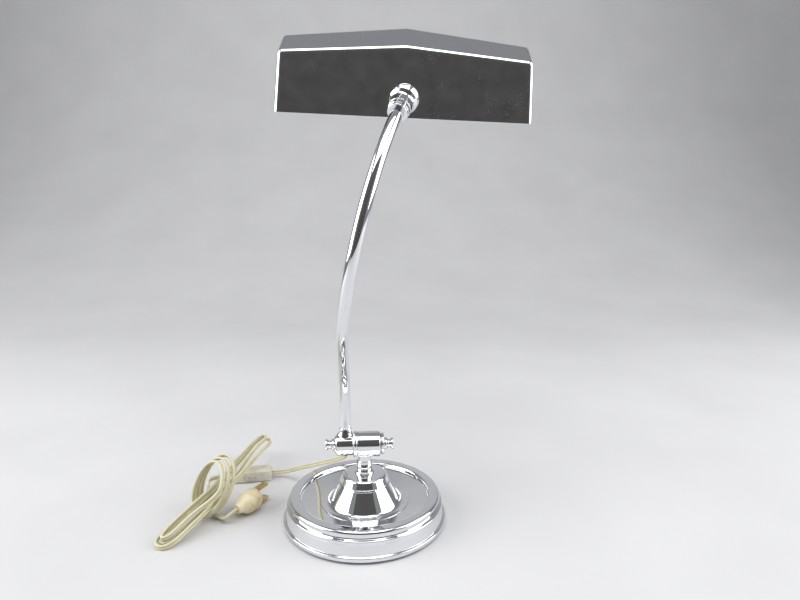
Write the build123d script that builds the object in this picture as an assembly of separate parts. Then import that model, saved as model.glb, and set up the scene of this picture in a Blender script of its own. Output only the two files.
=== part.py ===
from build123d import *
import math
import os

# Chrome desk lamp: weighted round base, friction knuckle, bent swing arm, ball swivel and gabled shade,
# with a tied hank of flat cord, an in-line switch and a round plug.
# Millimetres. +Z is up, the origin is the middle of the felt's underside, and the light falls towards +Y.

# Fits
RUNNING = 0.05          # radial clearance of a turning fit
FACE_GAP = 0.05         # gap between flat faces that turn on each other
LOOSE = 0.3             # room round pieces that are only guided

# Base
BASE_R = 70.0           # lip of the base
LIP_HEIGHT = 4.2
LIP_ROUND = 2.0
FELT_THICK = 1.6
BAND_TOP = 14.2         # height of the plain band above the lip
BAND_INSET = 1.9        # how far the band stands in from the lip
BEAD_HEIGHT = 3.2
BEAD_INSET = 3.2
TORUS_OUTER = 65.2
TORUS_INNER = 55.2
TORUS_TOP = 24.3
DISH_EDGE_Z = 20.3
DISH_FLOOR_Z = 16.2
DISH_FLAT_R = 33.0
BASE_WALL = 1.2
WEIGHT_THICK = 10.0
ROD_R = 4.0             # threaded rod that clamps the base together
NUT_FLATS = 13.0
NUT_THICK = 5.0
WASHER_R = 10.0
WASHER_THICK = 1.2

# Bell, cap and neck
BELL_FOOT_R = 38.2
BELL_SPREAD_R = 31.6    # where the bell's cone would meet the dish
BELL_FLARE_R = 8.5
BELL_TOP_R = 20.6
BELL_TOP_Z = 33.4
BELL_WALL = 1.7
CAP_R = 21.7
CAP_LIP = 1.8
CAP_SIDE_R = 21.1
CAP_SHOULDER = 8.2      # height of the shoulder, up to which the side leans in
CAP_SHOULDER_R = 18.3
CAP_RISE = 8.6
NECK_R = 5.8
NECK_STEM_R = 6.6
NECK_FOOT_R = 8.2
NECK_FOOT_HEIGHT = 3.0
NECK_STEM_LEN = 11.4

# Knuckle: two barrels on one bolt along X
PIVOT_Z = 68.0
BOLT_R = 2.5
FIXED_BARREL_R = 10.7
FIXED_BARREL_X = -5.8
FIXED_BARREL_LEN = 19.35
WASHER_GAP_R = 11.1     # flange between the barrels
FLANGE_THICK = 3.4
ARM_BARREL_R = 9.3
ARM_BARREL_LEN = 14.2
ARM_BARREL_WALL = 1.8
SPRING_THICK = 1.4
END_RING_R = 9.1
END_RING_THICK = 3.0
LEFT_CAP_LEN = 2.6
SPOOL_LEN = 6.8
SPOOL_SEAT_R = 5.0
SPOOL_WAIST_R = 3.3
SPOOL_R = 4.8

# Swing arm, a swan neck: foot, bend to the back, straight run, long bend to the front
TUBE_R = 4.75           # 3/8 inch tube
TUBE_WALL = 1.0
FOOT_LEAN = 8.0         # degrees that the foot leans forward from upright
FOOT_LEN = 20.0
NECK_BEND_R = 60.0
ARM_LEAN = 46.8         # degrees that the run leans back from upright
ARM_RUN = 27.4
ARM_TURN = 18.2         # degrees that the long bend is turned about the run
ARM_BEND_R = 122.5
ARM_SWEEP = 95.9
WIRE_R = 1.0
ARM_OFF = 0.5           # tube to the right of the arm barrel's middle
COLLAR_R = 6.5
COLLAR_TOP_R = 5.5
COLLAR_LEN = 14.4
BUSHING_LEAN = 33.0     # degrees that the cord's bushing points forward from straight down
BUSHING_R = 3.6
BUSHING_FLANGE_R = 4.8
BUSHING_FACE = 12.6     # distance of the bushing's mouth from the pivot

# Ball swivel: the ball is clamped to the shade, and a cup on the arm's end bears on it
BALL_R = 11.2
BALL_PROUD = 4.0        # middle of the ball outside the shade's back
SWIVEL_LEN = 21.8       # mouth of the collar to the middle of the ball
SWIVEL_COLLAR_R = 7.7
SWIVEL_COLLAR_LEN = 6.1
SWIVEL_STEP = 0.4       # how far the collar's second ring stands out from its first
CUP_R = 8.5
CUP_RIM_R = 10.9
CUP_RIM_BACK = 5.0      # rim of the cup in front of the ball's middle
CUP_FLARE_LEN = 3.2
CUP_FLARE_R = 4.0
TUBE_SPIGOT = 8.0
STUD_R = 5.0            # hollow stud of the ball, through the shade
STUD_SPARE = 1.0
CLAMP_WASHER_R = 13.0
CLAMP_WASHER_THICK = 1.2
CLAMP_NUT_FLATS = 15.0
CLAMP_NUT_THICK = 4.0
WIRE_HOLE_R = 2.4

# Shade: y runs from the back panel to the light, z up the panel, from the swivel's middle
SHADE_YAW = 3.4
SHADE_PITCH = 10.0
SHADE_ROLL = 2.6
SHADE_OFF = 0.6         # swivel to the right of the shade's middle
SHADE_HALF = 98.4       # half width along the rim
SHADE_DRAFT = 5.0       # degrees that the ends lean in
SHADE_WALL = 1.0
PANEL_DROP = 15.2       # rim below the swivel
PANEL_END = 43.3        # height of the back panel at its ends
GABLE_BACK = 6.4        # extra height in the middle of the back panel
CREST_DEPTH = 21.2
CREST_RISE = 12.5
GABLE_CREST = 8.9
SHADE_DEPTH = 88.5
FRONT_TOP = 17.5
GABLE_FRONT = 6.0
FRONT_BOTTOM = 5.5
FRONT_LEAN = 1.5
FOLD_R = 4.6
CREST_R = 8.0
FRONT_FOLD_R = 5.0
END_FOLD_R = 4.0
BLANK_BELOW = 20.0      # spare height of the block that cuts the hood's ends
BLANK_ABOVE = 40.0

# Socket and tubular bulb, along the shade
BULB_Y = 42.0
BULB_Z = 14.0
SOCKET_INSET = 12.5     # closed end of the socket to the shade's end
SOCKET_X = SOCKET_INSET - SHADE_HALF
SOCKET_R = 13.0
SOCKET_LEN = 36.0
SOCKET_FLOOR = 8.0
SLEEVE_R = 9.6
SLEEVE_WALL = 0.8
SLEEVE_LEN = 24.0
CONTACT_R = 4.0
CONTACT_THICK = 2.0
BULB_CAP_R = 8.5
BULB_CAP_LEN = 23.0
BULB_THREADS = 5
THREAD_START = 3.0      # first thread past the foot of the cap
CAP_TIP_R = 3.0
CAP_TIP_LEN = 2.0
GLASS_R = 12.7
GLASS_NECK_R = 7.6
BULB_GAP = 29.5         # tip of the bulb to the shade's other end
GLASS_WALL = 0.8
STEM_R = 2.6
STEM_LEN = 26.0
FILAMENT_R = 0.4
FILAMENT_LEN = 46.0
BRACKET_THICK = 1.2
BRACKET_HEIGHT = 20.0
BRACKET_FOOT = 18.0

# Cord: a flat twin cord, drawn as the round cord of the same section
CORD_R = 2.0
CORD_STEP = 4.6         # spacing of neighbouring strands in the hank
LAYER_STEP = 5.0        # height of the second layer over the first

# In-line switch and plug, lying on the table
SWITCH_LEN = 42.0
SWITCH_WIDTH = 15.0
SWITCH_HEIGHT = 11.6
SWITCH_WALL = 1.6
SWITCH_ROUND = 2.0
SWITCH_CORNER = 4.5
WHEEL_R = 7.2
WHEEL_THICK = 4.0
WHEEL_OFFSET = 2.4
WHEEL_PIN_R = 1.2
WHEEL_RIBS = 18
SWITCH_SCREW_R = 1.5
SWITCH_SCREW_HEAD_R = 2.6
SWITCH_SCREW_X = 15.0
PLUG_R = 10.0
PLUG_LEN = 24.0
PLUG_NECK_R = 4.0
BLADE_WIDTH = 6.35
BLADE_THICK = 1.5
BLADE_LEN = 16.0
BLADE_SPACING = 12.7

# Where the cord and its pieces lie
SWITCH_MIDDLE = (-112.0, 75.8)
SWITCH_TURN = 187.0     # degrees of the way from the lamp's side to the hank's side
PLUG_MIDDLE = (-104.6, 11.5)
PLUG_TURN = 60.0        # degrees from +X that the blades point


def lathe(*corners):
    """A turned piece: corners of (radius, height) or (radius, height, fillet), revolved about Z."""
    points = [(corner[0], 0, corner[1]) for corner in corners]
    fillets = [corner[2] if len(corner) > 2 else 0 for corner in corners]
    outline = FilletPolyline(*points, radius=fillets, close=True)
    return revolve(make_face(outline), Axis.Z)


def drum(radius, low, high):
    """A plain cylinder about Z between two heights."""
    return Pos(0, 0, (low + high) / 2) * Cylinder(radius, high - low)


def tube_along(path, radius):
    """A round bar carried along a path of lines and arcs."""
    start = path @ 0
    heading = path % 0
    return sweep(Plane(origin=start, z_dir=heading) * Circle(radius), path=path)


def inset(points, wall):
    """The open line through the points, moved to its right by the wall, with sharp corners kept."""
    moved = []
    for (ya, za), (yb, zb) in zip(points, points[1:]):
        length = math.hypot(yb - ya, zb - za)
        ny, nz = (zb - za) / length * wall, -(yb - ya) / length * wall
        moved.append(((ya + ny, za + nz), (yb + ny, zb + nz)))
    line = [moved[0][0]]
    for (a, b), (c, d) in zip(moved, moved[1:]):
        r = (b[0] - a[0], b[1] - a[1])
        s = (d[0] - c[0], d[1] - c[1])
        share = ((c[0] - a[0]) * s[1] - (c[1] - a[1]) * s[0]) / (r[0] * s[1] - r[1] * s[0])
        line.append((a[0] + share * r[0], a[1] + share * r[1]))
    return line + [moved[-1][1]]


# Frames of the moving groups
KNUCKLE = Plane(origin=(0, 0, PIVOT_Z), x_dir=(0, 1, 0), z_dir=(1, 0, 0)).location
ARM_X = FIXED_BARREL_X - FLANGE_THICK - FACE_GAP - ARM_BARREL_LEN / 2 + ARM_OFF
foot_lean = math.radians(FOOT_LEAN)
lean = math.radians(ARM_LEAN)
neck_sweep = foot_lean + lean
turn = math.radians(ARM_TURN)
sweep_angle = math.radians(ARM_SWEEP)
bushing_lean = math.radians(BUSHING_LEAN)
ARM_FOOT = Vector(ARM_X, 0, PIVOT_Z)
FOOT_DIR = Vector(0, math.sin(foot_lean), math.cos(foot_lean))
FOOT_SIDE = Vector(0, -math.cos(foot_lean), math.sin(foot_lean))
RUN_DIR = Vector(0, -math.sin(lean), math.cos(lean))
BEND_DIR = Vector(math.sin(turn), math.cos(turn) * math.cos(lean), math.cos(turn) * math.sin(lean))
END_DIR = RUN_DIR * math.cos(sweep_angle) + BEND_DIR * math.sin(sweep_angle)
END_SIDE = BEND_DIR * math.cos(sweep_angle) - RUN_DIR * math.sin(sweep_angle)
BUSHING_DIR = Vector(0, math.sin(bushing_lean), -math.cos(bushing_lean))
ARM = Plane(origin=ARM_FOOT, x_dir=(1, 0, 0), z_dir=FOOT_DIR).location


def bent(start, ahead, side, radius, angle):
    """A point on an arc that leaves its start straight ahead and bends to the side."""
    return start + ahead * (radius * math.sin(angle)) + side * (radius * (1 - math.cos(angle)))


FOOT_END = ARM_FOOT + FOOT_DIR * FOOT_LEN
RUN_START = bent(FOOT_END, FOOT_DIR, FOOT_SIDE, NECK_BEND_R, neck_sweep)
RUN_END = RUN_START + RUN_DIR * ARM_RUN
BEND_END = bent(RUN_END, RUN_DIR, BEND_DIR, ARM_BEND_R, sweep_angle)
SWIVEL = Plane(origin=BEND_END, x_dir=END_SIDE, z_dir=END_DIR).location
BALL = (SWIVEL * Pos(0, 0, SWIVEL_LEN)).position

SHADE_TURN = Rot(0, 0, -SHADE_YAW) * Rot(SHADE_PITCH, 0, 0) * Rot(0, SHADE_ROLL, 0)
SHADE = Pos(*BALL) * SHADE_TURN * Pos(-SHADE_OFF, BALL_PROUD, 0)
SEAT = SHADE * Pos(SHADE_OFF, 0, 0) * Rot(90, 0, 0)
BULB = SHADE * Pos(SOCKET_X, BULB_Y, BULB_Z) * Rot(0, 90, 0)

SWITCH = Pos(*SWITCH_MIDDLE, 0) * Rot(0, 0, SWITCH_TURN)
PLUG = Pos(*PLUG_MIDDLE, PLUG_R) * Rot(0, 0, PLUG_TURN) * Rot(0, 90, 0)

parts = {}


# Base: felt, cast weight, spun shell, clamped by a rod, washer and nut
SHELL_BOTTOM = FELT_THICK
LIP_TOP = SHELL_BOTTOM + LIP_HEIGHT
BAND_R = BASE_R - BAND_INSET
BEAD_R = BASE_R - BEAD_INSET
GROOVE_R = TORUS_OUTER - 0.7
BEAD_TOP = BAND_TOP + BEAD_HEIGHT
WEIGHT_TOP = FELT_THICK + WEIGHT_THICK
WEIGHT_R = BAND_R - BASE_WALL - LOOSE - 2 * BASE_WALL


def base_shell():
    wall = BASE_WALL
    outer = [
        (ROD_R + RUNNING, DISH_FLOOR_Z),
        (DISH_FLAT_R, DISH_FLOOR_Z),
        (TORUS_INNER - 0.6, DISH_EDGE_Z, 0.3),
        (TORUS_INNER, TORUS_TOP, 3.4),
        (TORUS_OUTER, TORUS_TOP, 4.4),
        (GROOVE_R, BEAD_TOP + 0.8, 0.3),
        (BEAD_R, BEAD_TOP, 0.9),
        (BEAD_R, BAND_TOP + 0.4, 0.9),
        (BEAD_R - 0.5, BAND_TOP, 0.2),
        (BAND_R, LIP_TOP, 0.3),
        (BASE_R, LIP_TOP - 0.2, LIP_ROUND - 0.1),
        (BASE_R, SHELL_BOTTOM, LIP_ROUND - 0.1),
    ]
    inner = [
        (BAND_R - wall, SHELL_BOTTOM),
        (BEAD_R - 0.5 - wall, BAND_TOP),
        (GROOVE_R - wall, BEAD_TOP),
        (TORUS_OUTER - wall, TORUS_TOP - wall, 2.5),
        (TORUS_INNER + wall, TORUS_TOP - wall, 2.0),
        (TORUS_INNER + wall, DISH_EDGE_Z - wall),
        (DISH_FLAT_R, DISH_FLOOR_Z - wall),
        (ROD_R + RUNNING, DISH_FLOOR_Z - wall),
    ]
    return lathe(*outer, *inner)


def base_weight():
    recess = NUT_THICK + WASHER_THICK + LOOSE
    hub_top = DISH_FLOOR_Z - BASE_WALL
    body = lathe(
        (ROD_R + RUNNING, hub_top),
        (DISH_FLAT_R - 8, hub_top, 1.5),
        (DISH_FLAT_R - 6, WEIGHT_TOP, 1.5),
        (WEIGHT_R - 1.0, WEIGHT_TOP, 2.0),
        (WEIGHT_R, FELT_THICK),
        (ROD_R + RUNNING, FELT_THICK),
    )
    return body - drum(WASHER_R + LOOSE, FELT_THICK, FELT_THICK + recess)


NUT_TOP = FELT_THICK + LOOSE + NUT_THICK
parts["felt_pad"] = drum(BAND_R - BASE_WALL, 0, FELT_THICK)
parts["base_weight"] = base_weight()
parts["base_shell"] = base_shell()
parts["base_washer"] = drum(WASHER_R, NUT_TOP, NUT_TOP + WASHER_THICK) - drum(ROD_R, 0, PIVOT_Z)
nut_blank = extrude(RegularPolygon(NUT_FLATS / 2, 6, major_radius=False), NUT_THICK)
parts["base_nut"] = Pos(0, 0, NUT_TOP - NUT_THICK) * nut_blank - drum(ROD_R, 0, PIVOT_Z)


# Bell, cap and neck on the middle of the dish
CAP_BOTTOM = BELL_TOP_Z
CAP_TOP = CAP_BOTTOM + CAP_RISE
NECK_STEP = CAP_TOP + NECK_STEM_LEN
ROD_TOP = NECK_STEP - 2.0


def dish_height(radius):
    """Height of the dish's sloping floor at a radius."""
    slope = (DISH_EDGE_Z - DISH_FLOOR_Z) / (TORUS_INNER - 0.6 - DISH_FLAT_R)
    return DISH_FLOOR_Z + slope * (radius - DISH_FLAT_R)


def bell():
    """A cone that flares into a thin foot, which lies on the dish."""
    foot_z = dish_height(BELL_FOOT_R)
    return lathe(
        (DISH_FLAT_R, DISH_FLOOR_Z),
        (BELL_FOOT_R, foot_z),
        (BELL_FOOT_R - 0.2, foot_z + 0.4, 0.15),
        (BELL_SPREAD_R, dish_height(BELL_SPREAD_R) + 0.4, BELL_FLARE_R),
        (BELL_TOP_R, BELL_TOP_Z),
        (BELL_TOP_R - BELL_WALL, BELL_TOP_Z),
        (BELL_SPREAD_R - BELL_WALL, DISH_FLOOR_Z),
    )


def bell_cap():
    """A lip, a side that leans in, a round shoulder and a low crown under the neck."""
    lip_top = CAP_BOTTOM + CAP_LIP
    return lathe(
        (ROD_R, CAP_BOTTOM),
        (CAP_R, CAP_BOTTOM, 0.5),
        (CAP_R, lip_top, 0.5),
        (CAP_SIDE_R, lip_top + 0.3, 0.2),
        (CAP_SHOULDER_R, CAP_BOTTOM + CAP_SHOULDER, 3.2),
        (NECK_FOOT_R + 0.8, CAP_TOP),
        (ROD_R, CAP_TOP),
    )


def neck():
    """A foot ring, a stem with one step, and a saddle that seats the fixed barrel."""
    foot_top = CAP_TOP + NECK_FOOT_HEIGHT
    turned = lathe(
        (0, CAP_TOP),
        (NECK_FOOT_R, CAP_TOP, 0.4),
        (NECK_FOOT_R - 0.3, foot_top - 0.9, 0.9),
        (NECK_STEM_R, foot_top, 0.4),
        (NECK_STEM_R, NECK_STEP, 0.6),
        (NECK_R, NECK_STEP + 0.6, 0.3),
        (NECK_R, PIVOT_Z),
        (0, PIVOT_Z),
    )
    barrel = KNUCKLE * drum(FIXED_BARREL_R, -BASE_R, BASE_R)
    return turned - barrel - drum(ROD_R, CAP_TOP, ROD_TOP)


parts["bell"] = bell()
parts["bell_cap"] = bell_cap()
parts["neck"] = neck()
parts["centre_rod"] = drum(ROD_R, NUT_TOP - NUT_THICK, ROD_TOP)


# Knuckle: the fixed barrel and its bolt, washers, cap and spool finial
FIXED_END = FIXED_BARREL_X + FIXED_BARREL_LEN
FLANGE_X = FIXED_BARREL_X - FLANGE_THICK
ARM_BARREL_X = FLANGE_X - FACE_GAP - ARM_BARREL_LEN
LEFT_CAP_X = ARM_BARREL_X - FACE_GAP
LEFT_SPOOL_X = LEFT_CAP_X - LEFT_CAP_LEN
SPRING_END = FIXED_END + SPRING_THICK
RING_END = SPRING_END + END_RING_THICK
NUT_START = RING_END + FACE_GAP
NUT_END = NUT_START + SPOOL_LEN


def spool(start, way, bore):
    """A flared thumb spool that grows along +X or -X from its seat."""
    corners = [
        (bore, 0),
        (SPOOL_SEAT_R, 0, 0.3),
        (SPOOL_SEAT_R, 0.8, 0.3),
        (SPOOL_WAIST_R, 2.6, 1.4),
        (SPOOL_WAIST_R, SPOOL_LEN - 2.8, 1.0),
        (SPOOL_R, SPOOL_LEN - 1.3, 0.5),
        (SPOOL_R, SPOOL_LEN, 0.5),
        (bore, SPOOL_LEN),
    ]
    return KNUCKLE * lathe(*[(c[0], start + way * c[1], *c[2:]) for c in corners])


fixed_bar = lathe(
    (BOLT_R, FIXED_BARREL_X),
    (FIXED_BARREL_R, FIXED_BARREL_X, 0.6),
    (FIXED_BARREL_R, FIXED_END, 1.0),
    (BOLT_R, FIXED_END),
)
flange = lathe(
    (BOLT_R, FLANGE_X),
    (WASHER_GAP_R, FLANGE_X, 0.5),
    (WASHER_GAP_R, FIXED_BARREL_X, 0.5),
    (BOLT_R, FIXED_BARREL_X),
)
end_ring = lathe(
    (BOLT_R, SPRING_END),
    (END_RING_R, SPRING_END, 0.6),
    (END_RING_R, SPRING_END + 0.55 * END_RING_THICK, 0.7),
    (SPOOL_SEAT_R, RING_END),
    (BOLT_R, RING_END),
)
left_cap = lathe(
    (BOLT_R, LEFT_CAP_X),
    (ARM_BARREL_R - 0.4, LEFT_CAP_X, 0.4),
    (SPOOL_SEAT_R, LEFT_SPOOL_X, 0.6),
    (BOLT_R, LEFT_SPOOL_X),
)
parts["fixed_barrel"] = KNUCKLE * fixed_bar
parts["barrel_flange"] = KNUCKLE * flange
spring_disc = drum(END_RING_R - 0.6, FIXED_END, SPRING_END) - drum(BOLT_R, -BASE_R, BASE_R)
parts["spring_washer"] = KNUCKLE * spring_disc
parts["end_ring"] = KNUCKLE * end_ring
parts["left_cap"] = KNUCKLE * left_cap
parts["left_spool"] = spool(LEFT_SPOOL_X, -1, BOLT_R)
parts["pivot_bolt"] = KNUCKLE * drum(BOLT_R, LEFT_SPOOL_X - SPOOL_LEN + 0.8, NUT_END - 0.8)
parts["thumb_nut"] = spool(NUT_START, 1, BOLT_R + RUNNING)


# Arm barrel on the bolt, with the tube's collar above and the cord's bushing below
BUSHING = Plane(origin=ARM_FOOT, x_dir=(1, 0, 0), z_dir=BUSHING_DIR).location
TUBE_FOOT = ARM_BARREL_R - ARM_BARREL_WALL + 0.3


def arm_barrel():
    inside_r = ARM_BARREL_R - ARM_BARREL_WALL
    bar = lathe(
        (BOLT_R + RUNNING, ARM_BARREL_X),
        (ARM_BARREL_R, ARM_BARREL_X, 0.8),
        (ARM_BARREL_R, ARM_BARREL_X + ARM_BARREL_LEN, 0.6),
        (BOLT_R + RUNNING, ARM_BARREL_X + ARM_BARREL_LEN),
    )
    chamber = drum(inside_r, ARM_BARREL_X + 2.0, ARM_BARREL_X + ARM_BARREL_LEN - 2.0)
    tube_hole = ARM * drum(TUBE_R + RUNNING, 0, ARM_BARREL_R + 1)
    cord_hole = BUSHING * drum(BUSHING_R + RUNNING, 0, ARM_BARREL_R + 1)
    return KNUCKLE * bar - KNUCKLE * chamber - tube_hole - cord_hole


def arm_collar():
    cone = lathe(
        (TUBE_R + RUNNING, 0),
        (COLLAR_R, 0),
        (COLLAR_R, ARM_BARREL_R - 0.3, 0.6),
        (COLLAR_TOP_R, ARM_BARREL_R + 2.4, 3.0),
        (COLLAR_TOP_R, COLLAR_LEN, 0.3),
        (TUBE_R + RUNNING, COLLAR_LEN),
    )
    return ARM * cone - KNUCKLE * drum(ARM_BARREL_R, -BASE_R, BASE_R)


def cord_bushing():
    bore = CORD_R + 0.6
    sleeve = drum(BUSHING_R, TUBE_FOOT, ARM_BARREL_R + 1) - drum(bore, 0, BUSHING_FACE)
    mouth = lathe(
        (bore, 0),
        (BUSHING_FLANGE_R, 0),
        (BUSHING_FLANGE_R, ARM_BARREL_R + 1.4, 0.6),
        (bore + 0.8, BUSHING_FACE, 0.3),
        (bore, BUSHING_FACE),
    )
    return BUSHING * sleeve + (BUSHING * mouth - KNUCKLE * drum(ARM_BARREL_R, -BASE_R, BASE_R))


parts["arm_barrel"] = arm_barrel()
parts["arm_collar"] = arm_collar()
parts["cord_bushing"] = cord_bushing()


# Arm tube and the two wires inside it
def arm_path(start, extra):
    """The tube's centre line, from a distance up the foot to a short straight end in the swivel."""
    neck_middle = bent(FOOT_END, FOOT_DIR, FOOT_SIDE, NECK_BEND_R, neck_sweep / 2)
    bend_middle = bent(RUN_END, RUN_DIR, BEND_DIR, ARM_BEND_R, sweep_angle / 2)
    pieces = [
        Line(ARM_FOOT + FOOT_DIR * start, FOOT_END),
        ThreePointArc(FOOT_END, neck_middle, RUN_START),
        Line(RUN_START, RUN_END),
        ThreePointArc(RUN_END, bend_middle, BEND_END),
        Line(BEND_END, BEND_END + END_DIR * extra),
    ]
    return Wire([edge for piece in pieces for edge in piece.edges()])


def arm_wires():
    side = TUBE_R - TUBE_WALL - WIRE_R - 0.02
    pair = [ARM * Pos(x, 0, TUBE_FOOT) * Circle(WIRE_R) for x in (-side, side)]
    return Compound([sweep(face, path=tube_path) for face in pair])


tube_path = arm_path(TUBE_FOOT, TUBE_SPIGOT)
parts["arm_tube"] = tube_along(tube_path, TUBE_R) - tube_along(tube_path, TUBE_R - TUBE_WALL)
parts["arm_wires"] = arm_wires()


# Ball swivel: collar and cup turn on the tube's end, and a washer and nut clamp the ball to the shade
SEAT_R = BALL_R + RUNNING
CUP_RIM = SWIVEL_LEN - CUP_RIM_BACK
CLAMP_FACE = -SHADE_WALL - CLAMP_WASHER_THICK
STUD_END = CLAMP_FACE - CLAMP_NUT_THICK - STUD_SPARE
clamp_stud = drum(STUD_R, STUD_END, BALL_PROUD)


def swivel_collar():
    """Two stepped rings on the tube's end."""
    step = 0.4 * SWIVEL_COLLAR_LEN
    second = SWIVEL_COLLAR_R + SWIVEL_STEP
    return SWIVEL * lathe(
        (TUBE_R + RUNNING, 0),
        (SWIVEL_COLLAR_R, 0, 0.6),
        (SWIVEL_COLLAR_R, step, 0.2),
        (second, step + SWIVEL_STEP, 0.2),
        (second, SWIVEL_COLLAR_LEN, 0.3),
        (TUBE_R + RUNNING, SWIVEL_COLLAR_LEN),
    )


def swivel_cup():
    """A barrel past the collar that flares to a thin rim round the ball."""
    outside = lathe(
        (0, SWIVEL_COLLAR_LEN),
        (CUP_R, SWIVEL_COLLAR_LEN, 0.3),
        (CUP_R, CUP_RIM - CUP_FLARE_LEN, CUP_FLARE_R),
        (CUP_RIM_R, CUP_RIM, 0.2),
        (0, CUP_RIM),
    )
    seat = Pos(0, 0, SWIVEL_LEN) * Sphere(SEAT_R)
    tube_bore = drum(TUBE_R + RUNNING, 0, TUBE_SPIGOT)
    return SWIVEL * (outside - seat - tube_bore - drum(WIRE_HOLE_R, 0, SWIVEL_LEN))


def swivel_ball():
    """A ball with a flat back against the shade, and its hollow stud."""
    ball = Pos(0, 0, BALL_PROUD) * Sphere(BALL_R) - drum(2 * BALL_R, -2 * BALL_R, 0)
    return SEAT * (ball + clamp_stud - drum(WIRE_HOLE_R, STUD_END - 1, 2 * BALL_R))


clamp_blank = extrude(RegularPolygon(CLAMP_NUT_FLATS / 2, 6, major_radius=False), CLAMP_NUT_THICK)
parts["swivel_collar"] = swivel_collar()
parts["swivel_cup"] = swivel_cup()
parts["swivel_ball"] = swivel_ball()
parts["clamp_washer"] = SEAT * (drum(CLAMP_WASHER_R, CLAMP_FACE, -SHADE_WALL) - clamp_stud)
parts["clamp_nut"] = SEAT * (Pos(0, 0, CLAMP_FACE - CLAMP_NUT_THICK) * clamp_blank - clamp_stud)


# Shade: a folded hood whose roof has a low gable across its width
def hood_profile(gable):
    """Corners from the back rim over the crest to the front rim; gable is 0 at the ends, 1 in the middle."""
    panel_top = PANEL_END - PANEL_DROP
    return [
        (0, -PANEL_DROP),
        (0, panel_top + gable * GABLE_BACK),
        (CREST_DEPTH, panel_top + CREST_RISE + gable * GABLE_CREST),
        (SHADE_DEPTH - FRONT_LEAN, FRONT_TOP + gable * GABLE_FRONT),
        (SHADE_DEPTH, FRONT_BOTTOM),
    ]


def longer(points, reach):
    """The same open line with both ends carried on by the reach."""
    (ya, za), (yb, zb) = points[1], points[0]
    first = math.hypot(yb - ya, zb - za)
    start = (yb + (yb - ya) / first * reach, zb + (zb - za) / first * reach)
    (ya, za), (yb, zb) = points[-2], points[-1]
    last = math.hypot(yb - ya, zb - za)
    end = (yb + (yb - ya) / last * reach, zb + (zb - za) / last * reach)
    return [start, *points[1:-1], end]


def hood(wall):
    """The solid hood, drawn in on all sides by the wall; a wall of 0 gives the outside."""
    top_half = SHADE_HALF - PANEL_END * math.tan(math.radians(SHADE_DRAFT))
    reach = SHADE_HALF + 10
    sections = []
    for x in (-reach, 0, reach):
        line = hood_profile(1 - abs(x) / top_half)
        if wall:
            line = longer(inset(line, wall), 4 * wall)
        folds = [0, FOLD_R - wall, CREST_R - wall, FRONT_FOLD_R - wall, 0]
        outline = FilletPolyline(*[(x, y, z) for y, z in line], radius=folds, close=True)
        sections.append(make_face(outline))
    roof = loft(sections, ruled=True)
    slope = math.tan(math.radians(SHADE_DRAFT))
    low, high = -PANEL_DROP - BLANK_BELOW, PANEL_END + BLANK_ABOVE
    side = wall / math.cos(math.radians(SHADE_DRAFT))
    low_half = SHADE_HALF + BLANK_BELOW * slope - side
    high_half = SHADE_HALF - (high + PANEL_DROP) * slope - side
    corners = [(-low_half, 0, low), (low_half, 0, low), (high_half, 0, high), (-high_half, 0, high)]
    block = extrude(make_face(Polyline(*corners, close=True)), amount=2 * SHADE_DEPTH, both=True)
    body = roof & block
    body_ends = [face for face in body.faces() if abs(face.normal_at().X) > 0.9]
    rim = [edge for face in body_ends for edge in face.edges() if not on_rim(edge, wall)]
    return fillet(rim, END_FOLD_R - wall)


def on_rim(edge, wall):
    """True for an edge along the open underside of the hood."""
    start, end = edge @ 0, edge @ 1
    return abs(end.Y - start.Y) > 0.6 * SHADE_DEPTH and min(start.Z, end.Z) < -PANEL_DROP + 1


def shade_shell():
    hole = drum(STUD_R + RUNNING, -SHADE_WALL - 1, 1)
    return SHADE * (hood(0) - hood(SHADE_WALL)) - SEAT * hole


parts["shade_shell"] = shade_shell()


# Socket on a welded bracket, and the tubular bulb
def socket_bracket():
    foot = Box(BRACKET_FOOT, BRACKET_THICK, BRACKET_HEIGHT)
    leg_len = BULB_Y + SOCKET_R * 0.7 - SHADE_WALL
    leg = Box(BRACKET_THICK, leg_len, BRACKET_HEIGHT)
    x = SOCKET_X - BRACKET_THICK / 2
    shape = Pos(x + (BRACKET_FOOT - BRACKET_THICK) / 2, SHADE_WALL + BRACKET_THICK / 2, BULB_Z) * foot
    shape += Pos(x, SHADE_WALL + leg_len / 2, BULB_Z) * leg
    wire_hole = Pos(SOCKET_X, BULB_Y, BULB_Z) * Rot(0, 90, 0) * drum(WIRE_HOLE_R, -BRACKET_THICK - 1, 1)
    return SHADE * (shape - wire_hole)


def socket_shell():
    return BULB * lathe(
        (WIRE_HOLE_R, 0),
        (SOCKET_R, 0, 1.0),
        (SOCKET_R, SOCKET_LEN * 0.45, 0.3),
        (SOCKET_R - 0.8, SOCKET_LEN * 0.45 + 0.8, 0.3),
        (SOCKET_R - 0.8, SOCKET_LEN, 0.8),
        (SLEEVE_R, SOCKET_LEN),
        (SLEEVE_R, SOCKET_FLOOR),
        (WIRE_HOLE_R, SOCKET_FLOOR),
    )


CAP_START = SOCKET_FLOOR + CONTACT_THICK
CAP_BODY = CAP_START + CAP_TIP_LEN
CAP_MOUTH = CAP_BODY + BULB_CAP_LEN
GLASS_START = CAP_MOUTH - 4.0
GLASS_END = 2 * SHADE_HALF - SOCKET_INSET - BULB_GAP


def bulb_glass():
    def skin(wall):
        radius = GLASS_R - wall
        neck_r = GLASS_NECK_R - wall
        return lathe(
            (0, GLASS_START + wall),
            (neck_r, GLASS_START + wall, 1.0),
            (neck_r, CAP_MOUTH + 1.0, 3.0),
            (radius, CAP_MOUTH + 8.0, 5.0),
            (radius, GLASS_END - wall, radius - 0.2),
            (0, GLASS_END - wall),
        )

    return BULB * (skin(0) - skin(GLASS_WALL))


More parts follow.
